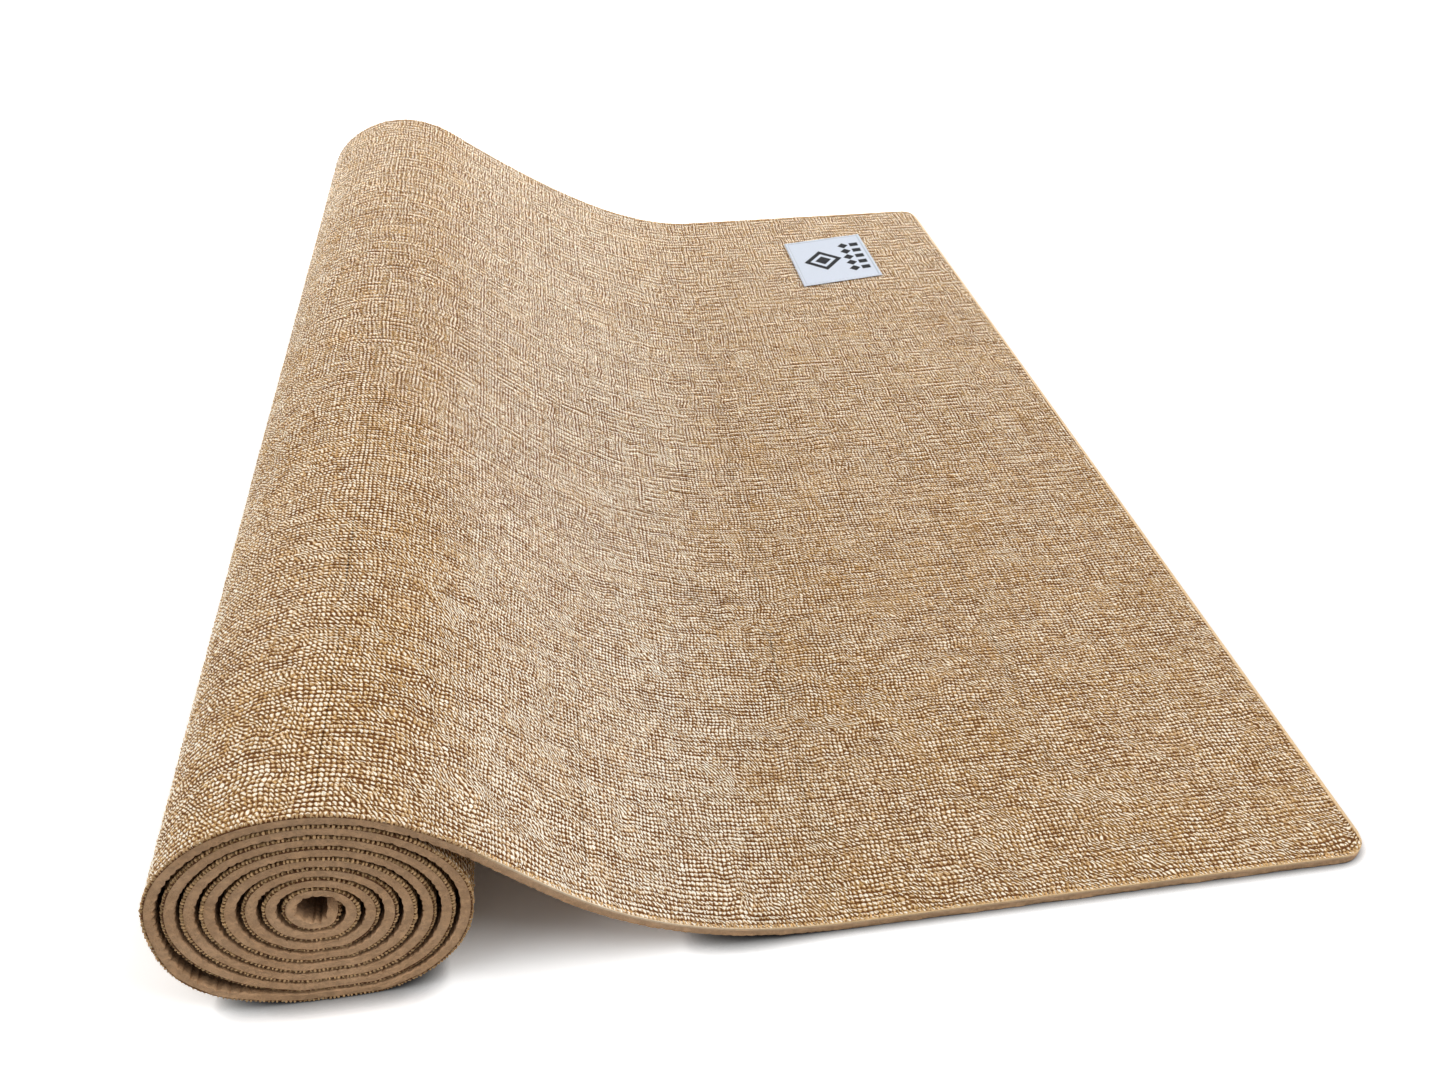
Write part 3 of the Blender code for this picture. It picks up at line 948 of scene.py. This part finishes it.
class MAT_OT_foam_base(bpy.types.Operator):
    """Build the foam: the underside of the mat and the body of every turn"""

    bl_idname = "mat.foam_base"
    bl_label = "Foam Base"

    INWARD = np.array([0.25, 0.7, 1.6, 3.5, 7, 14, 28, 60, 120, 200]) * MM
    WALL_SHARES = (0.09, 0.36, 0.72, 1.0)
    CREASE_SHARES = (0.0, 0.2, 0.5, 0.8)
    DEEPEST_DIP = 1.3 * MM
    DIPPED_DEPTH = 1.5 * MM
    LOOSE_PLACE, LOOSE_REACH = 165 * MM, 70 * MM
    LAID_EARLY, LAID_REACH = 20 * MM, 60 * MM
    CORE_REACH = 70 * MM
    WALL_BULGE = 0.22 * MM
    SHADE_REACHES = (4.5 * MM, 10 * MM)
    MAP_STEP = 0.05

    def execute(self, context):
        line, weave = sheet_line(), context.scene.mat_weave
        material = foam_finish(context.scene.mat_colours)
        stations, dips = self.creases(line, weave)
        piece = self.foam(line, weave, stations, dips, material)
        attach(piece, BODY)
        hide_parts("foam_base")
        return {"FINISHED"}

    def creases(self, line, weave):
        """Stations along the sheet, a few to a crease, and how deep the foam dips at each."""
        draws = np.random.default_rng(21)
        spacings = weave.crease_pitch * draws.uniform(0.7, 1.35, int(line.total / weave.crease_pitch * 1.2))
        valleys = np.concatenate([[0.0], np.cumsum(spacings)])
        valleys = valleys[valleys < line.total - weave.crease_pitch]
        edges = np.append(valleys, line.total)
        shares = np.array(self.CREASE_SHARES)
        stations = (edges[:-1, None] + np.diff(edges)[:, None] * shares).ravel()
        dips = np.tile(1 - np.sin(np.pi * shares), len(valleys))
        depth = np.repeat(draws.uniform(0.45, 1.1, len(valleys)), len(shares))
        # The inner end has no crease, so that it closes flat
        depth[:len(shares)] = 0.0
        return np.append(stations, line.total), np.append(dips * depth, 0.0)

    def foam(self, line, weave, stations, dips, material):
        """The closed foam sheet, its cross-section swept along the stations.

        Its map holds the ring of faces unrolled, and both ends in the strips beside it.
        """
        half = line.sizes.width / 2
        under, top = -line.thickness / 2, line.thickness / 2 - line.sizes.jute
        shares = (half - self.INWARD) / half
        lower = np.concatenate([-shares, [0.0], shares[::-1]])
        upper = lower[::-2]
        wall = under + (top - under) * np.array(self.WALL_SHARES)
        full = np.ones(len(wall))
        share_across = np.concatenate([lower, full, upper, -full])
        depths = np.concatenate([lower * 0 + under, wall, upper * 0 + top, wall[::-1]])

        travel, across = np.meshgrid(stations, share_across * half, indexing="ij")
        near_under = np.clip(1 - (depths - under) / self.DIPPED_DEPTH, 0.0, 1.0)
        breaking = 0.75 + 0.5 * lumps(travel, across, spacing=(9 * MM, 26 * MM), seed=22)
        loose = smooth_step(1 - np.abs(travel - line.last_turn - self.LOOSE_PLACE) / self.LOOSE_REACH)
        laid = smooth_step((travel - line.leaving + self.LAID_EARLY) / self.LAID_REACH)
        core = smooth_step(1 - travel / self.CORE_REACH)
        strength = (1 + 1.1 * loose + 1.2 * core) * (1 - 0.25 * laid)
        dip = weave.crease_depth * dips[:, None] * breaking * strength
        dip = np.minimum(dip, self.DEEPEST_DIP) * near_under
        bulge = self.WALL_BULGE * lumps(travel, depths * 3, spacing=(4 * MM, 2 * MM), seed=23)
        # deep is painted shade on the foam inside the roll; it grows away from the cut edge, sooner on the
        # underside.
        shade_reach = np.where(depths < 0, *self.SHADE_REACHES)
        deep = smooth_step((half - np.abs(across)) / shade_reach) * (1 - laid)
        on_wall = np.abs(share_across) == 1.0
        rubbed = 0.8 * laid * on_wall * smooth_step((depths - under) / (top - under) * 2 - 1)
        across = line.fitted(travel, across)
        across = across + np.where(on_wall, np.sign(across) * bulge, 0.0)

        parts = MeshParts()
        ring = parts.add_points(line.place(travel, across, depths + dip), depth=deep, rubbed=rubbed)
        run = np.concatenate([[0.0], np.cumsum(np.abs(np.diff(share_across)) + self.MAP_STEP)])
        run = np.append(run, run[-1] + self.MAP_STEP)
        ring_map = spread(0.005 + 0.93 * (run / run[-1]), 0.005 + 0.99 * (stations / line.total))
        closed_ring = np.concatenate([ring, ring[:, :1]], axis=1)
        parts.add_grid(closed_ring, np.zeros(closed_ring.shape + (2,)), ring_map, flipped=1)
        self.close(parts, ring, len(lower), len(upper), len(wall))
        return parts.made("foam_base_sheet", material, sharp_degrees=50)

    @staticmethod
    def close(parts, ring, lower, upper, wall):
        """Closes both ends of the sweep with faces between its lower and upper side."""
        for end, order, low in ((ring[0], 1, 0.945), (ring[-1], -1, 0.975)):
            under, far_wall, above, near_wall = np.split(end, np.cumsum([lower, wall, upper]))
            above = above[::-1]
            faces = []
            for index in range(upper - 1):
                first, second, third = under[2 * index:2 * index + 3]
                faces += [(first, second, above[index]), (second, above[index + 1], above[index]),
                          (second, third, above[index + 1])]
            near_side = [above[0], *near_wall]
            far_side = [*far_wall, above[-1]]
            for index in range(wall):
                faces.append((under[0], near_side[index], near_side[index + 1]))
                faces.append((under[-1], far_side[index], far_side[index + 1]))
            places = np.array([[low, 0.01], [low + 0.02, 0.01], [low + 0.01, 0.99]])
            parts.add_faces(np.array(faces)[:, ::order], np.zeros(2), places)


class MAT_OT_jute_face(bpy.types.Operator):
    """Weave the jute: the inner turns, and what shows in strips small enough to export"""

    bl_idname = "mat.jute_face"
    bl_label = "Jute Face"

    STRIP_NAMES = ("jute_outer_turn_low", "jute_outer_turn_side", "jute_outer_turn_top", "jute_slope_top",
                   "jute_slope_foot", "jute_laid", "jute_free_end")
    SHOWN_EARLY = 30 * MM

    def execute(self, context):
        line = sheet_line()
        weave = Weave(line, context.scene.mat_weave)
        material = JuteFinish().drawn(context.scene.mat_colours)
        shown_from = weave.row_at(line.last_turn - self.SHOWN_EARLY)
        columns = strip_columns(weave, edge_yarns=7, middle_spans=12)
        inner = jute_strip("jute_inner_turns", weave, 0, shown_from, columns, material)
        declare_sheet(inner)
        bounds = np.linspace(shown_from, weave.rows, len(self.STRIP_NAMES) + 1)
        bounds = 2 * np.round(bounds / 2).astype(int)
        columns = np.arange(weave.columns + 1)
        for name, first, last in zip(self.STRIP_NAMES, bounds, bounds[1:]):
            strip = jute_strip(name, weave, first, last, columns, material)
            declare_sheet(strip)
        return {"FINISHED"}


def points_object(name, points, **values):
    """An object of loose points that carry numbers and vectors, for a tree to put copies on."""
    mesh = bpy.data.meshes.new(name)
    mesh.from_pydata([tuple(point) for point in points], [], [])
    for value_name, value in values.items():
        kind, field = ("FLOAT_VECTOR", "vector") if np.ndim(value) == 2 else ("FLOAT", "value")
        attribute = mesh.attributes.new(value_name, kind, "POINT")
        attribute.data.foreach_set(field, np.asarray(value, np.float32).ravel())
    return placed(name, mesh)


def copies_tree(name, sizes, facets, material, seed):
    """A tree that puts a turned, slightly uneven thread with round ends on every point of its object.

    The points carry "forward" and "up", and sizes are the named inputs: a thread's length, width
    and thickness, and how uneven the threads are. facets are the segments and rings of a thread.
    """
    group = bpy.data.node_groups.new(name, "GeometryNodeTree")
    group.interface.new_socket("Geometry", in_out="INPUT", socket_type="NodeSocketGeometry")
    for size_name in sizes:
        group.interface.new_socket(size_name, in_out="INPUT", socket_type="NodeSocketFloat")
    group.interface.new_socket("Geometry", in_out="OUTPUT", socket_type="NodeSocketGeometry")
    tree = NodeTree(group)
    start = group.nodes.new("NodeGroupInput")
    inputs = {socket.name: Wire(tree, socket) for socket in start.outputs if socket.name}

    def vector(attribute_name):
        return tree.node("GeometryNodeInputNamedAttribute", {"data_type": "FLOAT_VECTOR"},
                         {"Name": attribute_name}, "Attribute")

    def drawn(low, high, part):
        values = {"Min_001": low, "Max_001": high, "Seed": seed + part}
        return tree.node("FunctionNodeRandomValue", {"data_type": "FLOAT"}, values, "Value_001")

    segments, rings = facets
    ball = tree.node("GeometryNodeMeshUVSphere", {},
                     {"Segments": segments, "Rings": rings, "Radius": 0.5}, "Mesh")
    size = tree.node("ShaderNodeCombineXYZ", {},
                     {"X": inputs["Length"], "Y": inputs["Width"], "Z": inputs["Thickness"]})
    thread = tree.node("GeometryNodeTransform", {}, {"Geometry": ball, "Scale": size})
    turned = tree.node("FunctionNodeAlignRotationToVector", {"axis": "Z"}, {"Vector": vector("up")})
    turned = tree.node("FunctionNodeAlignRotationToVector", {"axis": "X", "pivot_axis": "Z"},
                       {"Rotation": turned, "Vector": vector("forward")})
    uneven = inputs["Unevenness"]
    scales = [drawn(1 - uneven, 1 + uneven, part) for part in range(3)]
    scale = tree.node("ShaderNodeCombineXYZ", {}, dict(enumerate(scales)))
    copies = tree.node("GeometryNodeInstanceOnPoints", {}, {
        "Points": inputs["Geometry"], "Instance": thread, "Rotation": turned, "Scale": scale})
    toned = tree.node("GeometryNodeStoreNamedAttribute", {"data_type": "FLOAT", "domain": "INSTANCE"},
                      {"Geometry": copies, "Name": "tone", "Value": drawn(0.0, 1.0, 3)})
    real = tree.node("GeometryNodeRealizeInstances", {}, {"Geometry": toned})
    painted = tree.node("GeometryNodeSetMaterial", {}, {"Geometry": real, "Material": material})
    end = group.nodes.new("NodeGroupOutput")
    group.links.new(painted.socket, end.inputs[0])
    return group


def threads(name, places, sizes, facets, material, seed):
    """Threads as one plain mesh, one at each of the places, which hold points and their values.

    The points and the modifier on them are gone once the mesh has been made.
    """
    source = points_object(name + "_places", **places)
    modifier = source.modifiers.new(name, "NODES")
    modifier.node_group = copies_tree(name + "_copies", sizes, facets, material, seed)
    for socket in modifier.node_group.interface.items_tree:
        if socket.in_out == "INPUT" and socket.name in sizes:
            modifier[socket.identifier] = sizes[socket.name]
    bpy.context.view_layer.update()
    graph = bpy.context.evaluated_depsgraph_get()
    mesh = bpy.data.meshes.new_from_object(source.evaluated_get(graph), depsgraph=graph)
    bpy.data.objects.remove(source)
    mesh.name = name
    mesh.shade_smooth()
    return placed(name, mesh)


class MAT_OT_yarn_ends(bpy.types.Operator):
    """Put the cut ends of the yarns along the edges of the jute"""

    bl_idname = "mat.yarn_ends"
    bl_label = "Yarn Ends"

    SIZES = {"Length": 1.5 * MM, "Width": 0.88 * MM, "Thickness": 1.25 * MM, "Unevenness": 0.22}
    FACETS = (7, 5)
    MARGIN, CORNER = 2 * MM, 9 * MM
    OPENING = 40 * MM
    INNER_PLACE = 0.5 * MM

    def execute(self, context):
        line, weave = sheet_line(), context.scene.mat_weave
        material = yarn_end_finish(context.scene.mat_colours)
        places = self.edge_places(line, weave)
        piece = threads("jute_yarn_ends", places, self.SIZES, self.FACETS, material, seed=31)
        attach(piece, BODY)
        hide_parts("jute_face")
        return {"FINISHED"}

    def edge_places(self, line, weave):
        """Where the tufts are on both long edges and the inner end, and which way they face."""
        draws = np.random.default_rng(33)
        middle = line.thickness / 2 - 0.52 * line.sizes.jute
        rows = []

        def add_row(travel, across, depth, forward, pale):
            """Adds a row of tufts that stand out of the sheet the way that its thickness runs."""
            points = line.place(travel, across, depth)
            up = (line.place(travel, across, depth + MM) - points) / MM
            rows.append((points, np.broadcast_to(forward, points.shape), up, pale))

        travel = np.arange(self.MARGIN, line.total - self.MARGIN, weave.end_pitch)
        travel = travel + draws.uniform(-0.2, 0.2, len(travel)) * weave.end_pitch
        is_open = smooth_step((travel - line.leaving) / self.OPENING)
        for side in (-1, 1):
            uneven = lumps(travel, side * travel, spacing=(22 * MM, 22 * MM), seed=34)
            sunk = (0.45 + 0.75 * is_open + 0.30 * uneven) * MM
            lifted = middle + draws.uniform(-0.12, 0.12, len(travel)) * MM
            add_row(travel, side * (line.half_width(travel) - sunk), lifted, (0.0, side, 0.0), is_open)
        half = line.sizes.width / 2 - self.CORNER
        wide = np.arange(-half, half, weave.long_pitch / 2)
        ends, further_in = [line.place(self.INNER_PLACE + inward, wide, middle) for inward in (0, MM)]
        add_row(self.INNER_PLACE, wide, middle, (ends - further_in) / MM, np.zeros(len(wide)))
        return dict(zip(("points", "forward", "up", "pale"), map(np.concatenate, zip(*rows))))


class LabelShape:
    """The label's outline and height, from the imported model's label."""

    def __init__(self, sizes):
        low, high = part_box("woven_label")
        self.sizes = sizes
        self.long = high.x - low.x
        self.rise = math.tan(sizes.skew)
        self.wide = (high.y - low.y) - self.long * self.rise
        self.middle_x, self.middle_y = (low.x + high.x) / 2, (low.y + high.y) / 2
        self.floor = low.z

    def place(self, x, y, z):
        """Points in the frame for places on the square label, counted from its middle."""
        return np.stack([self.middle_x + x, self.middle_y + y + x * self.rise, self.floor + z], axis=-1)

    def pulled(self, x, y):
        """How strongly the nearest stitch pulls the hem in and down at each place."""
        pitch = self.sizes.stitch_pitch
        to_side = np.minimum(self.long / 2 - np.abs(x), self.wide / 2 - np.abs(y))
        near_side = smooth_step(1 - to_side / (1.6 * self.sizes.hem))
        along = np.where(self.long / 2 - np.abs(x) < self.wide / 2 - np.abs(y), y, x)
        held = 0.5 + 0.5 * np.cos(2 * np.pi * along / pitch)
        uneven = 0.6 + 0.5 * lumps(along, np.sign(x + y), spacing=(7 * MM, 1.0), seed=41)
        return near_side * held * uneven


class MAT_OT_label(bpy.types.Operator):
    """Lay the satin label near the far corner, with its hem folded and pulled by its stitches"""

    bl_idname = "mat.label"
    bl_label = "Sewn Label"

    COLUMNS, ROWS = 84, 104
    RIDGE_FALL, EDGE_ROUND = 0.5 * MM, 0.45 * MM
    COCKLE, THINNEST = 0.12 * MM, 0.1 * MM
    PULLED_DOWN, PULLED_IN = 0.28 * MM, 0.30 * MM

    def execute(self, context):
        sizes = context.scene.mat_label
        shape = LabelShape(sizes)
        material = label_finish(context.scene.mat_colours, shape.long / 2, shape.wide / 2, sizes.hem)
        piece = self.ribbon(shape, sizes, material)
        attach(piece, BODY)
        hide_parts("woven_label")
        return {"FINISHED"}

    def ribbon(self, shape, sizes, material):
        """The ribbon as a closed sheet: its face with the hem's ridge, and a plain back."""
        half_long, half_wide = shape.long / 2, shape.wide / 2
        x, y = np.meshgrid(self.crowded(half_long, self.COLUMNS), self.crowded(half_wide, self.ROWS),
                           indexing="ij")
        to_side = np.minimum(half_long - np.abs(x), half_wide - np.abs(y))
        pull = shape.pulled(x, y)
        ridge = 1 - smooth_step((to_side - sizes.hem * 0.8) / self.RIDGE_FALL)
        rounded = np.sqrt(np.clip(1 - (1 - np.clip(to_side / self.EDGE_ROUND, 0, 1)) ** 2, 0, 1))
        height = sizes.cloth * (0.35 + 0.65 * rounded) + sizes.cloth * ridge * rounded
        height = height + self.COCKLE * lumps(x, y, spacing=(9 * MM, 11 * MM), seed=42) * (1 - ridge)
        height = height - self.PULLED_DOWN * pull * rounded
        drawn_in = self.PULLED_IN * pull
        shrink_x = np.sign(x) * drawn_in * (np.abs(x) / half_long) ** 8
        shrink_y = np.sign(y) * drawn_in * (np.abs(y) / half_wide) ** 8
        parts = MeshParts()
        face = parts.add_points(shape.place(x - shrink_x, y - shrink_y, np.maximum(height, self.THINNEST)))
        back = parts.add_points(shape.place(x - shrink_x, y - shrink_y, np.zeros_like(x)))
        yarns = np.stack([x, y], axis=-1)
        shares = np.stack([x / shape.long + 0.5, y / shape.wide + 0.5], axis=-1)
        parts.add_grid(face, yarns, 0.01 + shares * np.array([0.98, 0.80]))
        under_map = shares * np.array([0.98, 0.08]) + np.array([0.01, 0.90])
        parts.add_grid(back, yarns, under_map, flipped=1)
        sides = ((np.s_[0], None), (np.s_[-1], 0), (np.s_[:, 0], 0), (np.s_[:, -1], None))
        for number, (side, flipped) in enumerate(sides):
            share = np.linspace(0.01, 0.99, len(face[side]))
            rim_map = spread(share, 0.825 + 0.018 * number + np.array([0.0, 0.012]))
            rim_yarns = np.stack([yarns[side], yarns[side]])
            parts.add_grid(np.stack([face[side], back[side]]), rim_yarns, rim_map, flipped)
        return parts.made("woven_label_ribbon", material, sharp_degrees=60)

    @staticmethod
    def crowded(half, count):
        """Places from one side to the other, closer together near both sides."""
        share = np.linspace(-1, 1, count + 1)
        return half * (0.72 * share + 0.28 * np.sin(share * np.pi / 2) ** 3)


class MAT_OT_label_stitches(bpy.types.Operator):
    """Sew the label down with a row of stitches along its hem"""

    bl_idname = "mat.label_stitches"
    bl_label = "Label Stitches"

    FACETS = (8, 6)

    def execute(self, context):
        label = context.scene.mat_label
        thick = label.stitch_thick
        sizes = {"Length": label.stitch_long, "Width": thick, "Thickness": thick, "Unevenness": 0.08}
        material = thread_finish(context.scene.mat_colours)
        places = self.stitch_places(LabelShape(label), label)
        piece = threads("label_stitches", places, sizes, self.FACETS, material, seed=51)
        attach(piece, BODY)
        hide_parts("woven_label")
        return {"FINISHED"}

    @staticmethod
    def stitch_places(shape, sizes):
        """Each stitch's middle and directions, round the label's four sides."""
        inset = 0.6 * sizes.hem
        half_long, half_wide = shape.long / 2 - inset, shape.wide / 2 - inset
        points, forward = [], []
        for half, other, along_x in ((half_long, half_wide, True), (half_wide, half_long, False)):
            count = int(half / sizes.stitch_pitch)
            run = (np.arange(-count, count + 1) + 0.5)[:-1] * sizes.stitch_pitch
            for side in (-other, other):
                fixed = np.full(len(run), side)
                x, y = (run, fixed) if along_x else (fixed, run)
                points.append(shape.place(x, y, np.full(len(run), 1.9 * sizes.cloth)))
                way = (1.0, shape.rise, 0.0) if along_x else (0.0, 1.0, 0.0)
                forward.append(np.tile(way, (len(run), 1)))
        points, forward = np.concatenate(points), np.concatenate(forward)
        return {"points": points, "forward": forward, "up": np.tile([0.0, 0.0, 1.0], (len(points), 1))}


class MAT_OT_stage(bpy.types.Operator):
    """Set up the pale floor, the soft light and the camera"""

    bl_idname = "mat.stage"
    bl_label = "Stage"

    FLOOR_HALF = 4.0
    FLOOR_LIT, FLOOR_SEEN = (0.40, 0.40, 0.40), (1.6, 1.6, 1.6)
    CONTACT_REACH, CONTACT_POWER = 10 * MM, 2.5
    LAMP_WAYS = {"right": (1.0, 0.0, 0.8), "left": (-1.0, 0.0, 0.3), "top": (0.0, 0.0, 1.0)}
    LAMP_DEGREES = 60
    PITCH, YAW, ROLL = 37.274, 9.155, 0.370
    CAMERA_PLACE = (-0.0722, -0.5498, 0.3629)

    def execute(self, context):
        settings = context.scene.mat_stage
        self.floor()
        self.world(context.scene, settings.around)
        for side, way in self.LAMP_WAYS.items():
            self.lamp(side + "_light", getattr(settings, side), way)
        self.camera(context.scene, settings.lens)
        context.scene.view_settings.view_transform = "Standard"
        return {"FINISHED"}

    def floor(self):
        """A floor that is white to the camera and grey to the light, with a painted contact shadow where
        the mat meets it.
        """
        half = self.FLOOR_HALF
        mesh = bpy.data.meshes.new("floor")
        corners = [(-half, -half, 0.0), (half, -half, 0.0), (half, half, 0.0), (-half, half, 0.0)]
        mesh.from_pydata(corners, [], [(0, 1, 2, 3)])
        paper = Finish("floor_paper")
        shade = paper.mixed(paper.seen(), self.FLOOR_LIT, self.FLOOR_SEEN)
        # Painted contact shadow: ambient occlusion within CONTACT_REACH darkens the floor's colour next to
        # the mat.
        openness = paper.node("ShaderNodeAmbientOcclusion", {}, {"Distance": self.CONTACT_REACH}, "AO")
        shade = paper.toned(shade, openness ** self.CONTACT_POWER)
        paper.finish(Base_Color=shade, Roughness=1.0, Specular_IOR_Level=0.0)
        placed("floor", mesh, paper.material)

    @staticmethod
    def world(scene, level):
        """A room that is white to the camera and gives the mat a low, even light."""
        scene.world = bpy.data.worlds.new("soft_room")
        scene.world.use_nodes = True
        room = NodeTree(scene.world.node_tree)
        background = room.tree.nodes["Background"]
        background.inputs["Color"].default_value = (1.0, 1.0, 1.0, 1.0)
        room.feed(background.inputs["Strength"], room.seen() * (1 - level) + level)

    def lamp(self, name, level, direction):
        """A sun that shines from a direction, softened over an angle."""
        light = bpy.data.lights.new(name, "SUN")
        light.energy = level * math.pi
        light.angle = math.radians(self.LAMP_DEGREES)
        lamp = bpy.data.objects.new(name, light)
        bpy.context.scene.collection.objects.link(lamp)
        x, y, z = direction
        lamp.matrix_world = Matrix.Rotation(math.atan2(x, -y), 4, "Z") @ Matrix.Rotation(
            math.atan2(math.hypot(x, y), z), 4, "X")

    def camera(self, scene, lens):
        """The camera, where the photograph was taken from."""
        data = bpy.data.cameras.new("photo_camera")
        data.lens = lens
        data.clip_start, data.clip_end = 0.01, 50.0
        camera = bpy.data.objects.new("photo_camera", data)
        scene.collection.objects.link(camera)
        turned = Matrix.Rotation(math.radians(-self.YAW), 4, "Z") @ Matrix.Rotation(
            math.radians(90 - self.PITCH), 4, "X") @ Matrix.Rotation(math.radians(self.ROLL), 4, "Z")
        camera.matrix_world = Matrix.Translation(self.CAMERA_PLACE) @ turned
        scene.camera = camera


STEPS = (MAT_OT_foam_base, MAT_OT_jute_face, MAT_OT_yarn_ends, MAT_OT_label, MAT_OT_label_stitches,
         MAT_OT_stage)
GROUPS = {"mat_sheet": MatSheetSizes, "mat_weave": MatWeaveSizes, "mat_label": MatLabelSizes,
          "mat_colours": MatColours, "mat_stage": MatStageSettings}


class MAT_PT_panel(bpy.types.Panel):
    """Lists the mat's pieces and sizes"""

    bl_idname = "MAT_PT_panel"
    bl_label = "Yoga Mat"
    bl_space_type = "VIEW_3D"
    bl_region_type = "UI"
    bl_category = "Yoga Mat"

    def draw(self, context):
        for step in STEPS:
            self.layout.operator(step.bl_idname)
        for group_name in GROUPS:
            group = getattr(context.scene, group_name)
            box = self.layout.box()
            for name in group.bl_rna.properties.keys():
                if name not in ("rna_type", "name"):
                    box.prop(group, name)


def register():
    for group_name, group in GROUPS.items():
        bpy.utils.register_class(group)
        setattr(bpy.types.Scene, group_name, PointerProperty(type=group))
    for step in STEPS:
        bpy.utils.register_class(step)
    bpy.utils.register_class(MAT_PT_panel)


def unregister():
    bpy.utils.unregister_class(MAT_PT_panel)
    for step in reversed(STEPS):
        bpy.utils.unregister_class(step)
    for group_name, group in GROUPS.items():
        delattr(bpy.types.Scene, group_name)
        bpy.utils.unregister_class(group)


def main():
    register()
    for step in STEPS:
        family, name = step.bl_idname.split(".")
        getattr(getattr(bpy.ops, family), name)()


if __name__ == "__main__":
    main()
